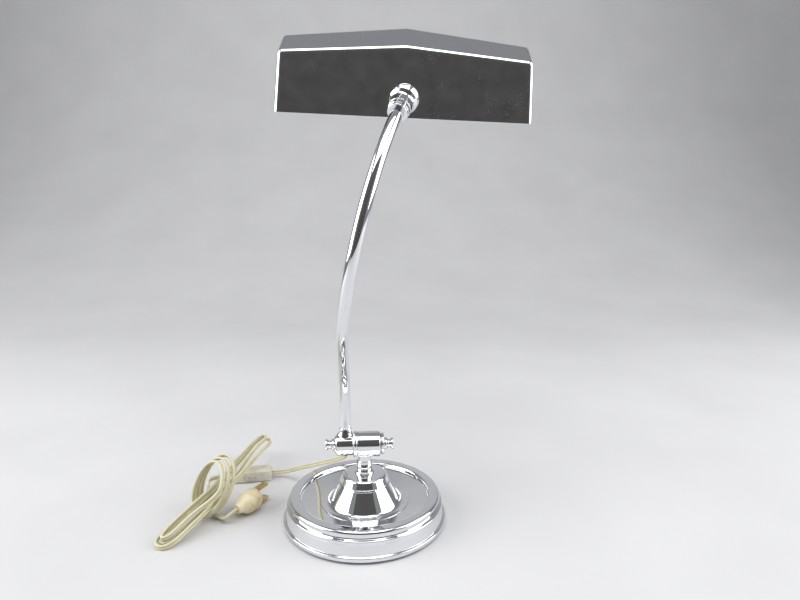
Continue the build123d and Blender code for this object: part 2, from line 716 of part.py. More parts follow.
def bulb_cap():
    crest, root = BULB_CAP_R, BULB_CAP_R - 0.5
    pitch = BULB_CAP_LEN / 9
    threads = []
    for turn_index in range(BULB_THREADS):
        foot = CAP_BODY + THREAD_START + turn_index * pitch
        threads += [(root, foot, 0.3), (crest, foot + pitch / 2, 0.3)]
    return BULB * lathe(
        (0, CAP_START),
        (CAP_TIP_R, CAP_START, 0.5),
        (CAP_TIP_R, CAP_BODY),
        (root - 2.0, CAP_BODY),
        (root, CAP_BODY + 1.6, 0.4),
        *threads,
        (root, CAP_BODY + THREAD_START + BULB_THREADS * pitch, 0.3),
        (root, CAP_MOUTH),
        (GLASS_NECK_R, CAP_MOUTH),
        (GLASS_NECK_R, GLASS_START),
        (0, GLASS_START),
    )


STEM_START = GLASS_START + GLASS_WALL
STEM_END = STEM_START + STEM_LEN


def bulb_filament():
    """Two lead wires out of the stem, with the coil slung between two supports."""
    far, spread = STEM_END + FILAMENT_LEN, STEM_R * 2.4
    route = [
        (STEM_R * 0.6, 0, STEM_END),
        (STEM_R * 0.6, 0, STEM_END + 5),
        (spread, 0, STEM_END + 14),
        (spread * 0.8, 0, far),
        (-spread * 0.8, 0, far),
        (-spread, 0, STEM_END + 14),
        (-STEM_R * 0.6, 0, STEM_END + 5),
        (-STEM_R * 0.6, 0, STEM_END),
    ]
    return BULB * tube_along(FilletPolyline(*route, radius=2.0), FILAMENT_R)


parts["socket_bracket"] = socket_bracket()
parts["socket_shell"] = socket_shell()
parts["socket_sleeve"] = BULB * (
    drum(SLEEVE_R, SOCKET_FLOOR, SOCKET_FLOOR + SLEEVE_LEN) - drum(SLEEVE_R - SLEEVE_WALL, 0, SOCKET_LEN)
)
parts["socket_contact"] = BULB * drum(CONTACT_R, SOCKET_FLOOR, CAP_START)
parts["bulb_cap"] = bulb_cap()
parts["bulb_glass"] = bulb_glass()
parts["bulb_stem"] = BULB * lathe(
    (0, STEM_START),
    (STEM_R + 1.5, STEM_START, 0.8),
    (STEM_R, STEM_START + 8, 2.0),
    (STEM_R, STEM_END, 0.8),
    (0, STEM_END),
)
parts["bulb_filament"] = bulb_filament()


# In-line switch: two halves, a ribbed wheel between them and one screw
def switch_half(low, high, rounded):
    """One half of the switch, with the chamber for its wheel."""
    outline = RectangleRounded(SWITCH_LEN, SWITCH_WIDTH, SWITCH_CORNER)
    block = Pos(0, 0, low) * extrude(outline, high - low)
    block = fillet(block.faces().sort_by(Axis.Z)[rounded].edges(), SWITCH_ROUND)
    middle = SWITCH_HEIGHT / 2
    room = WHEEL_THICK / 2 + FACE_GAP
    chamber = Pos(0, WHEEL_OFFSET) * drum(WHEEL_R + LOOSE, middle - room, middle + room)
    return block - chamber - Pos(SWITCH_SCREW_X) * drum(SWITCH_SCREW_R, 1, SWITCH_HEIGHT)


def switch_wheel():
    middle = SWITCH_HEIGHT / 2
    low, high = middle - WHEEL_THICK / 2, middle + WHEEL_THICK / 2
    disc = drum(WHEEL_R, low, high) - drum(WHEEL_PIN_R + RUNNING, 0, SWITCH_HEIGHT)
    groove = Pos(WHEEL_R + 0.35) * drum(0.8, 0, SWITCH_HEIGHT)
    for rib in range(WHEEL_RIBS):
        disc -= Rot(0, 0, rib * 360 / WHEEL_RIBS) * groove
    return SWITCH * Pos(0, WHEEL_OFFSET) * disc


half_height = SWITCH_HEIGHT / 2
wheel_pin = Pos(0, WHEEL_OFFSET) * drum(WHEEL_PIN_R, SWITCH_WALL, half_height + WHEEL_THICK / 2)
screw_seat = Pos(SWITCH_SCREW_X) * drum(SWITCH_SCREW_HEAD_R, SWITCH_HEIGHT - 1.6, SWITCH_HEIGHT)
screw = Pos(SWITCH_SCREW_X) * drum(SWITCH_SCREW_R, 1, SWITCH_HEIGHT - 1.6) + Pos(SWITCH_SCREW_X) * drum(
    SWITCH_SCREW_HEAD_R, SWITCH_HEIGHT - 1.6, SWITCH_HEIGHT - 0.4
)
screw -= Pos(SWITCH_SCREW_X, 0, SWITCH_HEIGHT - 0.4) * Box(2 * SWITCH_SCREW_HEAD_R, 0.8, 1.0)
parts["switch_base"] = SWITCH * (switch_half(0, half_height, 0) + wheel_pin)
parts["switch_cover"] = SWITCH * (switch_half(half_height, SWITCH_HEIGHT, -1) - screw_seat)
parts["switch_screw"] = SWITCH * screw
parts["switch_wheel"] = switch_wheel()


# Plug: a round moulded body and two flat blades, one above the other
PLUG_BACK = -PLUG_LEN / 2
PLUG_FACE = PLUG_LEN / 2
plug_turned = lathe(
    (0, PLUG_BACK),
    (PLUG_NECK_R, PLUG_BACK, 1.0),
    (PLUG_NECK_R + 1.0, PLUG_BACK + 4, 2.0),
    (PLUG_R - 0.4, PLUG_BACK + 11, 5.0),
    (PLUG_R, PLUG_FACE - 3, 2.0),
    (PLUG_R - 1.0, PLUG_FACE, 0.8),
    (0, PLUG_FACE),
)
blade = fillet(Box(BLADE_THICK, BLADE_WIDTH, BLADE_LEN).edges().filter_by(Axis.X).group_by(Axis.Z)[-1], 1.5)
blades = [Pos(side * BLADE_SPACING / 2, 0, PLUG_FACE + BLADE_LEN / 2) * blade for side in (-1, 1)]
parts["plug_body"] = PLUG * plug_turned
parts["plug_blades"] = PLUG * Compound(blades)


# Cord: the lead from the bushing to the switch, and the tied hank from the switch to the plug
def corner_radii(points):
    """The largest arc at each corner that 0.45 of its shorter run allows."""
    radii = []
    for a, b, c in zip(points, points[1:], points[2:]):
        before, after = b - a, c - b
        half_turn = math.radians(before.get_angle(after)) / 2
        radii.append(0.45 * min(before.length, after.length) / math.tan(half_turn))
    return radii


def cord_path(points):
    return FilletPolyline(*points, radius=corner_radii(points))


def lead_route():
    """From the bushing, down behind the knuckle, over the rim of the base and along to the switch."""
    mouth = ARM_FOOT + BUSHING_DIR * (BUSHING_FACE - 3.0)
    hanging = [(-17.0, 14.0, 50.5), (-22.0, 21.0, 45.5), (-31.0, 31.0, 38.5), (-42.5, 42.5, 31.0)]
    landing = [(-58.5, 58.0, 20.5), (-70.0, 69.5, 12.5), (-77.0, 75.5, 8.0)]
    end = SWITCH * Pos(-SWITCH_LEN / 2, 0, SWITCH_HEIGHT / 2)
    before = end * Pos(-8, 0, 0)
    route = [Vector(*p) for p in hanging + landing]
    return [mouth, mouth + BUSHING_DIR * 7.0, *route, before.position, end.position]


# Middle of the hank's strands, from its tail on the table over the waist to its tip
HANK_SPINE = [
    Vector(-162.0, -35.0, 4.7),
    Vector(-148.0, -11.0, 12.5),
    Vector(-131.0, 14.0, 21.0),
    Vector(-121.5, 52.0, 24.0),
    Vector(-114.0, 93.0, 23.0),
    Vector(-106.0, 127.0, 21.0),
]
HANK_INNER = [4.4, 4.4, 2.5, 3.6, 3.9, 4.4]
HANK_ENTRY = [(-141.5, 72.2, 5.8), (-148.5, 62.0, 8.5), (-144.5, 42.0, 15.0)]
WRAP_MIDDLE = Vector(-132.4, 14.8, 25.6)
WRAP_AZIMUTH = 60.0     # degrees from +X of the way through the turns
WRAP_LEAN = 58.0        # degrees that the turns stand up from the table
WRAP_TURNS = 3
WRAP_POINTS = 12
WRAP_PITCH = 6.1
WRAP_HALF_WIDTH = 15.3
WRAP_HALF_HEIGHT = 25.0
WRAP_GROWTH = 1.2
HANK_EXIT = [(-126.6, 4.4, 2.4), (-118.8, -5.9, 5.6)]
PLUG_RUN = 7.0          # straight cord behind the plug


def strand_point(station, side, ring, layer):
    """A point of one strand: side -1 or 1, ring 0 (inner loop) or 1 (outer loop), layer -0.5 or 0.5."""
    before = HANK_SPINE[max(station - 1, 0)]
    after = HANK_SPINE[min(station + 1, len(HANK_SPINE) - 1)]
    along = Vector(after.X - before.X, after.Y - before.Y, 0).normalized()
    across = Vector(along.Y, -along.X, 0)
    end_shift = {0: -1, len(HANK_SPINE) - 1: 1}.get(station, 0) * ring * CORD_STEP
    width = HANK_INNER[station] + ring * CORD_STEP
    lift = Vector(0, 0, layer * LAYER_STEP)
    return HANK_SPINE[station] + along * end_shift + across * (side * width) + lift


def hank_route():
    """Loops in two layers, spiralling in and out again, then turns round the waist, then the plug."""
    tip = len(HANK_SPINE) - 1
    start = SWITCH * Pos(SWITCH_LEN / 2, 0, SWITCH_HEIGHT / 2)
    points = [start.position, *[Vector(*p) for p in HANK_ENTRY]]
    points += [strand_point(s, -1, 1, -0.5) for s in (2, 1, 0)]
    points += [strand_point(s, 1, 1, -0.5) for s in range(tip + 1)]
    points += [strand_point(tip, -1, 1, -0.5)]
    points += [strand_point(s, -1, 0, -0.5) for s in range(tip - 1, -1, -1)]
    points += [strand_point(s, 1, 0, -0.5) for s in (0, 1, 2, 3)]
    points += [strand_point(s, 1, 0, 0.5) for s in (4, tip)]
    points += [strand_point(s, -1, 0, 0.5) for s in range(tip, -1, -1)]
    points += [strand_point(s, 1, 0, 0.5) for s in (0, 1)]
    across = Vector(math.sin(math.radians(WRAP_AZIMUTH)), -math.cos(math.radians(WRAP_AZIMUTH)), 0)
    ahead = Vector(math.cos(math.radians(WRAP_AZIMUTH)), math.sin(math.radians(WRAP_AZIMUTH)), 0)
    up = ahead * math.cos(math.radians(WRAP_LEAN)) + Vector(0, 0, math.sin(math.radians(WRAP_LEAN)))
    for step in range(WRAP_TURNS * WRAP_POINTS - WRAP_POINTS // 4 + 1):
        turned = step / WRAP_POINTS
        angle = 2 * math.pi * turned
        wide = WRAP_HALF_WIDTH + WRAP_GROWTH * turned
        tall = WRAP_HALF_HEIGHT + WRAP_GROWTH * turned / 3
        centre = WRAP_MIDDLE + ahead * (WRAP_PITCH * (turned - WRAP_TURNS / 2))
        points.append(centre + across * (wide * math.cos(angle)) + up * (tall * math.sin(angle)))
    back = PLUG * Pos(0, 0, PLUG_BACK)
    return points + [Vector(*p) for p in HANK_EXIT] + [(back * Pos(0, 0, -PLUG_RUN)).position, back.position]


def least_self_gap(path, radius):
    """The least clear gap between stretches of one cord that are more than six radii apart along it."""
    step = radius
    count = int(path.length / step)
    dots = [path @ (i / count) for i in range(count + 1)]
    skip = int(math.ceil(4 * math.pi * radius / step))
    gap = min(
        (a - b).length for i, a in enumerate(dots) for b in dots[i + skip:]
    )
    return gap - 2 * radius


def cord_tube(name, points):
    path = cord_path(points)
    solid = tube_along(path, CORD_R)
    section = math.pi * CORD_R**2 * path.length
    print(f"{name}: length {path.length:.1f} mm, volume to section times length {solid.volume / section:.4f}")
    print(f"{name}: radii", [round(r, 1) for r in corner_radii(points)])
    print(f"{name}: least gap to itself {least_self_gap(path, CORD_R):.2f} mm")
    return solid


parts["cord_lead"] = cord_tube("cord_lead", lead_route())
parts["cord_hank"] = cord_tube("cord_hank", hank_route())

os.makedirs("parts", exist_ok=True)
for node, solid in parts.items():
    export_step(solid, f"parts/{node}.step")
print(len(parts), "nodes; ball", tuple(round(v, 2) for v in BALL), "end", tuple(round(v, 5) for v in END_DIR))
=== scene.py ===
# %% [markdown]
# # A chrome desk lamp, dressed for the camera
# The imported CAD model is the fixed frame. Polished chrome forgives nothing, because every facet shows in
# its reflections, so the plated pieces are made again here as fine smooth surfaces with the same sizes. The
# rest of the CAD nodes stay and get materials of their own.

# %% Load the frame
import math

import bmesh
import bpy
import numpy as np
from mathutils import Matrix, Vector


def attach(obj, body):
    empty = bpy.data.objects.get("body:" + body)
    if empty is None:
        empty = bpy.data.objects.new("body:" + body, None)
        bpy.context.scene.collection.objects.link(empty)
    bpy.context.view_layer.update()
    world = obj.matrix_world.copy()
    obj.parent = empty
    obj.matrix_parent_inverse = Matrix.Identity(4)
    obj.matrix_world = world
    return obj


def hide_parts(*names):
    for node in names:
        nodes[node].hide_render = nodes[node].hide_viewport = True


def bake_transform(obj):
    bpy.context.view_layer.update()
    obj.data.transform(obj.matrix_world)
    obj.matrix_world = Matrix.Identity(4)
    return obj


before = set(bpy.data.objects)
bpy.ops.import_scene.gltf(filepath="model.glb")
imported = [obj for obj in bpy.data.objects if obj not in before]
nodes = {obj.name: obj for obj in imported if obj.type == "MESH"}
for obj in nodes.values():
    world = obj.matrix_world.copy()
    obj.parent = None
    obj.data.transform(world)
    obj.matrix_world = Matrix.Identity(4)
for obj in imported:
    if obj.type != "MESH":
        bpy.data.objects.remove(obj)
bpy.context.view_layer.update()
scene = bpy.context.scene

# %% [markdown]
# ## Camera
# The view was worked out from the round base and the arm: the camera stands half a metre away, a little
# above the middle of the lamp, and looks down by ten degrees. A lens of 27 mm on a 36 mm sensor gives the
# wide view.

# %% Camera
camera_data = bpy.data.cameras.new("camera")
camera_data.lens = 27.0
camera_data.sensor_width = 36.0
camera = bpy.data.objects.new("camera", camera_data)
scene.collection.objects.link(camera)
camera.location = (0.0, -0.4841, 0.28105)
camera.rotation_euler = (math.radians(90 - 10.336), 0, math.radians(-3.634))
scene.camera = camera
print("camera at", tuple(camera.location))

# %% [markdown]
# ## Frames of the moving pieces
# Each group of pieces is easiest to draw in its own axes: the knuckle along its bolt, the arm along its
# straight foot, the swivel along the tube's end and the shade along its width. A frame is an origin and
# three axes, and a point goes to the lamp's axes as origin + x·X + y·Y + z·Z. Sizes are in millimetres.

# %% Frames
MM = 0.001
PIVOT_Z = 68.0
ARM_X = -15.85
FOOT_LEAN = math.radians(8.0)
FOOT_LEN = 20.0
NECK_BEND_R = 60.0
ARM_LEAN = math.radians(46.8)
ARM_RUN = 27.4
ARM_TURN = math.radians(18.2)
ARM_BEND_R = 122.5
ARM_SWEEP = math.radians(95.9)
BUSHING_LEAN = math.radians(33.0)
SWIVEL_LEN = 21.8
BALL_PROUD = 4.0
SHADE_OFF = 0.6
SHADE_YAW = math.radians(3.4)
SHADE_PITCH = math.radians(10.0)
SHADE_ROLL = math.radians(2.6)


def make_frame(origin, x_axis, z_axis):
    """Origin and axes as rows; the second axis is the third crossed with the first."""
    x_axis, z_axis = np.array(x_axis, float), np.array(z_axis, float)
    return np.array(origin, float), np.array([x_axis, np.cross(z_axis, x_axis), z_axis])


def place(points, where):
    """Points in a frame's axes, as points in the lamp's axes."""
    origin, axes = where
    return points @ axes + origin


def bent(start, ahead, side, radius, angle):
    """Points on an arc that leaves its start straight ahead and bends to the side."""
    angle = np.atleast_1d(angle)[:, None]
    return start + radius * (np.sin(angle) * ahead + (1 - np.cos(angle)) * side)


WORLD = make_frame((0, 0, 0), (1, 0, 0), (0, 0, 1))
KNUCKLE = make_frame((0, 0, PIVOT_Z), (0, 1, 0), (1, 0, 0))
foot_dir = np.array([0, math.sin(FOOT_LEAN), math.cos(FOOT_LEAN)])
foot_side = np.array([0, -math.cos(FOOT_LEAN), math.sin(FOOT_LEAN)])
run_dir = np.array([0, -math.sin(ARM_LEAN), math.cos(ARM_LEAN)])
run_front = np.array([0, math.cos(ARM_LEAN), math.sin(ARM_LEAN)])
bend_dir = math.sin(ARM_TURN) * np.array([1, 0, 0]) + math.cos(ARM_TURN) * run_front
end_dir = math.cos(ARM_SWEEP) * run_dir + math.sin(ARM_SWEEP) * bend_dir
end_side = math.cos(ARM_SWEEP) * bend_dir - math.sin(ARM_SWEEP) * run_dir
bushing_dir = np.array([0, math.sin(BUSHING_LEAN), -math.cos(BUSHING_LEAN)])
bushing_side = np.array([0, math.cos(BUSHING_LEAN), math.sin(BUSHING_LEAN)])
ARM = make_frame((ARM_X, 0, PIVOT_Z), (1, 0, 0), foot_dir)
foot_end = ARM[0] + FOOT_LEN * foot_dir
run_start = bent(foot_end, foot_dir, foot_side, NECK_BEND_R, FOOT_LEAN + ARM_LEAN)[0]
run_end = run_start + ARM_RUN * run_dir
bend_end = bent(run_end, run_dir, bend_dir, ARM_BEND_R, ARM_SWEEP)[0]
SWIVEL = make_frame(bend_end, end_side, end_dir)
ball_middle = place(np.array([0, 0, SWIVEL_LEN]), SWIVEL)
shade_yaw = Matrix.Rotation(-SHADE_YAW, 3, "Z")
shade_pitch = Matrix.Rotation(SHADE_PITCH, 3, "X")
shade_roll = Matrix.Rotation(SHADE_ROLL, 3, "Y")
shade_axes = np.array(shade_yaw @ shade_pitch @ shade_roll).T
SEAT = make_frame(ball_middle + BALL_PROUD * shade_axes[1], shade_axes[0], -shade_axes[1])
SHADE = (SEAT[0] - SHADE_OFF * shade_axes[0], shade_axes)
print("ball of the swivel at", ball_middle.round(2))

# %% [markdown]
# ## Cord
# The cord is a flat twin flex: two round cores side by side with a groove between. It leaves the knuckle,
# drops behind the base, and reaches a switch on the table. Past the switch it is folded into a hank and
# wrapped three times round the waist before it ends in the plug. The line is a NURBS spline with the CAD
# tube's points as its control points, and the flat section is carried along it.

# %% Lead from the knuckle to the switch
CORD_WIDTH = 4.4
CORD_THICK = 2.3
BUSHING_FACE = 12.6
MOUTH_DEPTH = 3.0
MOUTH_RUN = 7.0
SWITCH_MIDDLE = np.array([-112.0, 75.8, 5.8])
SWITCH_TURN = math.radians(187)
SWITCH_HALF = 21.0
SWITCH_RUN = 8.0


def level(angle):
    """Direction along the table at an angle from the x axis."""
    return np.array([math.cos(angle), math.sin(angle), 0])


def unit(rows):
    """Vectors scaled to length one."""
    return rows / np.linalg.norm(rows, axis=-1, keepdims=True)


mouth = ARM[0] + bushing_dir * (BUSHING_FACE - MOUTH_DEPTH)
switch_dir = level(SWITCH_TURN)
lead_route = np.array([
    mouth,
    mouth + bushing_dir * MOUTH_RUN,
    (-17.0, 14.0, 50.5), (-22.0, 21.0, 45.5), (-31.0, 31.0, 38.5), (-42.5, 42.5, 31.0),
    (-58.5, 58.0, 20.5), (-70.0, 69.5, 12.5), (-77.0, 75.5, 8.0),
    SWITCH_MIDDLE - switch_dir * (SWITCH_HALF + SWITCH_RUN),
    SWITCH_MIDDLE - switch_dir * SWITCH_HALF,
])
print("lead:", len(lead_route), "points")

# %% Hank from the switch to the plug
CORD_STEP = 4.6
LAYER_STEP = 5.0
LEFT, RIGHT = -1, 1
INNER, OUTER = 0, 1
LOWER, UPPER = -0.5, 0.5
WRAP_MIDDLE = np.array([-132.4, 14.8, 25.6])
WRAP_AZIMUTH = math.radians(60.0)
WRAP_LEAN = math.radians(58.0)
WRAP_TURNS = 3
WRAP_POINTS = 12
WRAP_PITCH = 6.1
WRAP_HALF_WIDTH = 15.3
WRAP_HALF_HEIGHT = 25.0
WRAP_WIDENS = 1.2
WRAP_RISES = 0.4
PLUG_MIDDLE = np.array([-104.6, 11.5, 10.0])
PLUG_TURN = math.radians(60)
PLUG_HALF = 12.0
PLUG_RUN = 7.0

spine = np.array([
    (-162.0, -35.0, 4.7), (-148.0, -11.0, 12.5), (-131.0, 14.0, 21.0),
    (-121.5, 52.0, 24.0), (-114.0, 93.0, 23.0), (-106.0, 127.0, 21.0),
])
inner_half = np.array([4.4, 4.4, 2.5, 3.6, 3.9, 4.4])
TIP = len(spine) - 1


def strand(stations, side, ring, layer):
    """Points of one strand: the spine's, moved across by the strand's half width and up by its layer. The
    outer ring also reaches one cord further at both ends of the spine."""
    stations = np.array(stations)
    along = spine[np.minimum(stations + 1, TIP)] - spine[np.maximum(stations - 1, 0)]
    along = unit(along * (1, 1, 0))
    across = along[:, [1, 0, 2]] * (1, -1, 0)
    shift = np.where(stations == 0, -1, np.where(stations == TIP, 1, 0)) * ring * CORD_STEP
    width = side * (inner_half[stations] + ring * CORD_STEP)
    lift = (0, 0, layer * LAYER_STEP)
    return spine[stations] + along * shift[:, None] + across * width[:, None] + lift


def wrap_turns():
    """Leaning turns round the waist, less the last quarter: middle + ahead·pitch·turns + across·wide·cos
    + up·tall·sin, where wide and tall grow a little with each turn."""
    ahead = level(WRAP_AZIMUTH)
    across = level(WRAP_AZIMUTH - math.pi / 2)
    up = ahead * math.cos(WRAP_LEAN) + np.array([0, 0, math.sin(WRAP_LEAN)])
    count = WRAP_TURNS * WRAP_POINTS - WRAP_POINTS // 4 + 1
    turns = np.arange(count)[:, None] / WRAP_POINTS
    angle = 2 * math.pi * turns
    middle = WRAP_MIDDLE + ahead * WRAP_PITCH * (turns - WRAP_TURNS / 2)
    wide = WRAP_HALF_WIDTH + WRAP_WIDENS * turns
    tall = WRAP_HALF_HEIGHT + WRAP_RISES * turns
    return middle + across * wide * np.cos(angle) + up * tall * np.sin(angle)


plug_dir = level(PLUG_TURN)
plug_back = PLUG_MIDDLE - plug_dir * PLUG_HALF
hank_route = np.vstack([
    SWITCH_MIDDLE + switch_dir * SWITCH_HALF,
    [(-141.5, 72.2, 5.8), (-148.5, 62.0, 8.5), (-144.5, 42.0, 15.0)],
    strand([2, 1, 0], LEFT, OUTER, LOWER),
    strand(range(TIP + 1), RIGHT, OUTER, LOWER),
    strand([TIP], LEFT, OUTER, LOWER),
    strand(range(TIP - 1, -1, -1), LEFT, INNER, LOWER),
    strand([0, 1, 2, 3], RIGHT, INNER, LOWER),
    strand([4, TIP], RIGHT, INNER, UPPER),
    strand(range(TIP, -1, -1), LEFT, INNER, UPPER),
    strand([0, 1], RIGHT, INNER, UPPER),
    wrap_turns(),
    [(-126.6, 4.4, 2.4), (-118.8, -5.9, 5.6)],
    plug_back - plug_dir * PLUG_RUN,
    plug_back,
])
print("hank:", len(hank_route), "points")


# %% Line of the cord
def smooth_line(name, route):
    """Points of a NURBS spline with the route as its control points, read from a curve with no bevel."""
    curve = bpy.data.curves.new(name, "CURVE")
    curve.dimensions = "3D"
    curve.resolution_u = 8
    spline = curve.splines.new("NURBS")
    spline.points.add(len(route) - 1)
    spline.points.foreach_set("co", np.c_[route * MM, np.ones(len(route))].ravel())
    spline.order_u = 3
    spline.use_endpoint_u = True
    holder = bpy.data.objects.new(name, curve)
    scene.collection.objects.link(holder)
    graph = bpy.context.evaluated_depsgraph_get()
    mesh = bpy.data.meshes.new_from_object(holder.evaluated_get(graph))
    line = np.empty(len(mesh.vertices) * 3)
    mesh.vertices.foreach_get("co", line)
    bpy.data.objects.remove(holder)
    bpy.data.curves.remove(curve)
    bpy.data.meshes.remove(mesh)
    return line.reshape(-1, 3)


def distances(line):
    """Distance along the line from its start to each of its points."""
    return np.r_[0, np.cumsum(np.linalg.norm(np.diff(line, axis=0), axis=1))]


lead_line = smooth_line("lead_line", lead_route)
hank_line = smooth_line("hank_line", hank_route)


# %% [markdown]
# ## A grid becomes a mesh
# Every new piece is a surface worked out on a grid of two parameters. One helper joins the grid's points
# into quads, wraps it where it closes on itself, turns it the right way out and shades it smooth.

# %% Grid to mesh
def quad_corners(values):
    """Values on a grid's points, as the four corners of each of its quads."""
    corners = [values[:-1, :-1], values[:-1, 1:], values[1:, 1:], values[1:, :-1]]
    return np.stack(corners, -1).reshape(-1, 4)


def grid_mesh(name, grid, wrap_rows=False, wrap_columns=True, flip=False, uv=None):
    """A mesh of quads over a grid in millimetres; a closed one is turned so that its volume is positive."""
    rows, columns = grid.shape[:2]
    index = np.arange(rows * columns).reshape(rows, columns)
    if wrap_rows:
        index = np.vstack([index, index[:1]])
    if wrap_columns:
        index = np.hstack([index, index[:, :1]])
    quads = quad_corners(index)
    points = grid.reshape(-1, 3) * MM
    if wrap_rows and wrap_columns:
        a, b, c, d = (points[quads[:, k]] for k in range(4))
        flip = (np.cross(b - a, c - a) * a).sum() + (np.cross(c - a, d - a) * a).sum() < 0
    way = -1 if flip else 1
    mesh = bpy.data.meshes.new(name)
    mesh.from_pydata(points, [], quads[:, ::way])
    mesh.polygons.foreach_set("use_smooth", np.ones(len(quads), bool))
    if uv is not None:
        corners = np.stack([quad_corners(share)[:, ::way] for share in uv], -1)
        mesh.uv_layers.new(name="UVMap").data.foreach_set("uv", corners.ravel())
    mesh.update()
    piece = bpy.data.objects.new(name, mesh)
    scene.collection.objects.link(piece)
    return piece


def weld(piece):
    """The same piece with points that fall on each other made one, which closes its poles."""
    welded = bmesh.new()
    welded.from_mesh(piece.data)
    bmesh.ops.remove_doubles(welded, verts=welded.verts, dist=1e-6)
    welded.to_mesh(piece.data)
    welded.free()
    return piece


# %% Flat twin flex
WEB_SHARE = 0.62
END_SHRINK = 0.9


def full_turn(count):
    """Angles once round, without the last, which is the first again."""
    return np.linspace(0, 2 * math.pi, count, endpoint=False)


def twin_section(count=40):
    """Outline of the flex as (across, up): its half height is the greater of the web and a round core."""
    core = CORD_THICK / 2
    core_middle = CORD_WIDTH / 2 - core
    angle = full_turn(count)
    across = (CORD_WIDTH / 2) * np.cos(angle)
    round_core = np.sqrt(np.maximum(core**2 - (np.abs(across) - core_middle) ** 2, 0))
    web = np.where(np.abs(across) < core_middle, WEB_SHARE * core, 0)
    return across, np.sign(np.sin(angle)) * np.maximum(round_core, web)


def headings(step):
    """Heading at each point of a line: the steps before and after it, added up."""
    return unit(np.vstack([step[:1], step[:-1] + step[1:], step[-1:]]))


def carried_width(tangent, start):
    """The flex's width direction, carried along with no twist: it turns only as the line turns."""
    width = np.empty_like(tangent)
    carried = np.array(start, float)
    for k, heading in enumerate(tangent):
        carried = unit(carried - heading * (carried @ heading))
        width[k] = carried
    return width


def flex(name, line, start):
    """The twin section swept along the line, closed at both ends by drawing extra rings to their middle."""
    tangent = headings(np.diff(line, axis=0))
    width = carried_width(tangent, start)
    height = np.cross(tangent, width)
    across, up = twin_section()
    last = len(line) - 1
    reach = np.r_[0, 0, 0:len(line), last, last]
    size = np.r_[0, END_SHRINK, np.ones(len(line)), END_SHRINK, 0][:, None, None]
    rings = width[reach][:, None] * across[None, :, None] + height[reach][:, None] * up[None, :, None]
    grid = line[reach][:, None] / MM + size * rings
    v, u = np.meshgrid(np.linspace(0, 1, len(across) + 1), distances(line)[reach])
    return weld(grid_mesh(name, grid, flip=True, uv=(u, v)))


lead = flex("flex_lead", lead_line, bushing_side)
hank = flex("flex_hank", hank_line, (0, 0, 1))
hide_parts("cord_lead")
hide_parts("cord_hank")
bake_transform(lead)
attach(hank, "base")
print("flex:", len(lead.data.polygons) + len(hank.data.polygons), "quads")

# %% [markdown]
# ## Turned chrome
# The base, the bell, the neck and nearly every piece of the knuckle are turned on a lathe, so each is one
# outline carried round an axis. Real turned edges are never sharp: a small radius at each corner catches a
# bright line, and that line is what makes plated metal read as metal.

# %% Lathe
LEAST_FILLET = 0.12
ARC_POINTS = 96
MOST_CUT = 0.46
STRAIGHT = math.radians(89)
HOLD = 0.15
HOLD_SHARE = 0.02
chrome_pieces = []


def rounded(corners):
    """A closed outline of (radius, height, fillet): each corner becomes an arc that touches both of its
    runs, and each run keeps a point near each arc, so that flat faces stay flat in the shading."""
    spots = np.array([corner[:2] for corner in corners], float)
    outline = []
    for k, corner in enumerate(corners):
        here = spots[k]
        runs = np.array([spots[k - 1], spots[(k + 1) % len(spots)]]) - here
        lengths = np.linalg.norm(runs, axis=1)
        back, ahead = unit(runs)
        half = math.acos(np.clip(back @ ahead, -1, 1)) / 2
        if half > STRAIGHT:
            outline.append(here)
            continue
        fillet = max([LEAST_FILLET, *corner[2:]])
        cut = min(fillet / math.tan(half), MOST_CUT * lengths.min())
        radius = cut * math.tan(half)
        middle = here + unit(back + ahead) * (radius / math.sin(half))
        start = here + back * cut - middle
        end = here + ahead * cut - middle
        sweep = math.pi - 2 * half
        count = max(3, int(ARC_POINTS * sweep / (2 * math.pi)) + 2)
        turn = np.linspace(0, 1, count)[:, None] * sweep
        side = unit(end - start * math.cos(sweep))
        arc = middle + start * np.cos(turn) + side * radius * np.sin(turn)
        hold_back, hold_ahead = np.minimum(HOLD, HOLD_SHARE * lengths)
        outline += [here + back * (cut + hold_back), arc, here + ahead * (cut + hold_ahead)]
    return np.vstack(outline)


def round_axis(r, h, angle):
    """Points (r cos a, r sin a, h) about an axis."""
    return np.stack([r * np.cos(angle), r * np.sin(angle), h + 0 * angle], -1)


def plated(piece, body, replaced):
    """A chrome piece rides on its body in place of its CAD node, and is kept for the plating."""
    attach(piece, body)
    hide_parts(replaced)
    chrome_pieces.append(piece)


def turned(name, body, where, corners, replaced, around=160):
    """A lathe surface of a closed outline, in its frame."""
    outline = rounded(corners)
    grid = round_axis(outline[:, :1], outline[:, 1:], full_turn(around))
    plated(grid_mesh(name, place(grid, where), wrap_rows=True), body, replaced)


# %% [markdown]
# ## Base
# A spun shell with a rolled lip, a plain band, a small step, a rolled ring and a shallow dish. The bell
# rises from the dish in one hollow curve, and a cap whose side leans in sits on it under a stepped neck.

# %% Base
BASE_R = 70.0
BASE_WALL = 1.2
ROD_HOLE_R = 4.2
SHELL_BOTTOM = 1.6
LIP_TOP = 5.8
LIP_ROUND = 1.9
BAND_R = BASE_R - 1.9
BAND_TOP = 14.2
BEAD_R = BASE_R - 3.2
BEAD_FOOT_R = BEAD_R - 0.5
BEAD_TOP = 17.4
TORUS_OUTER = 65.2
TORUS_INNER = 55.2
TORUS_TOP = 24.3
GROOVE_R = TORUS_OUTER - 0.7
DISH_EDGE_Z = 20.3
DISH_FLAT_R = 33.0
DISH_FLOOR_Z = 16.2

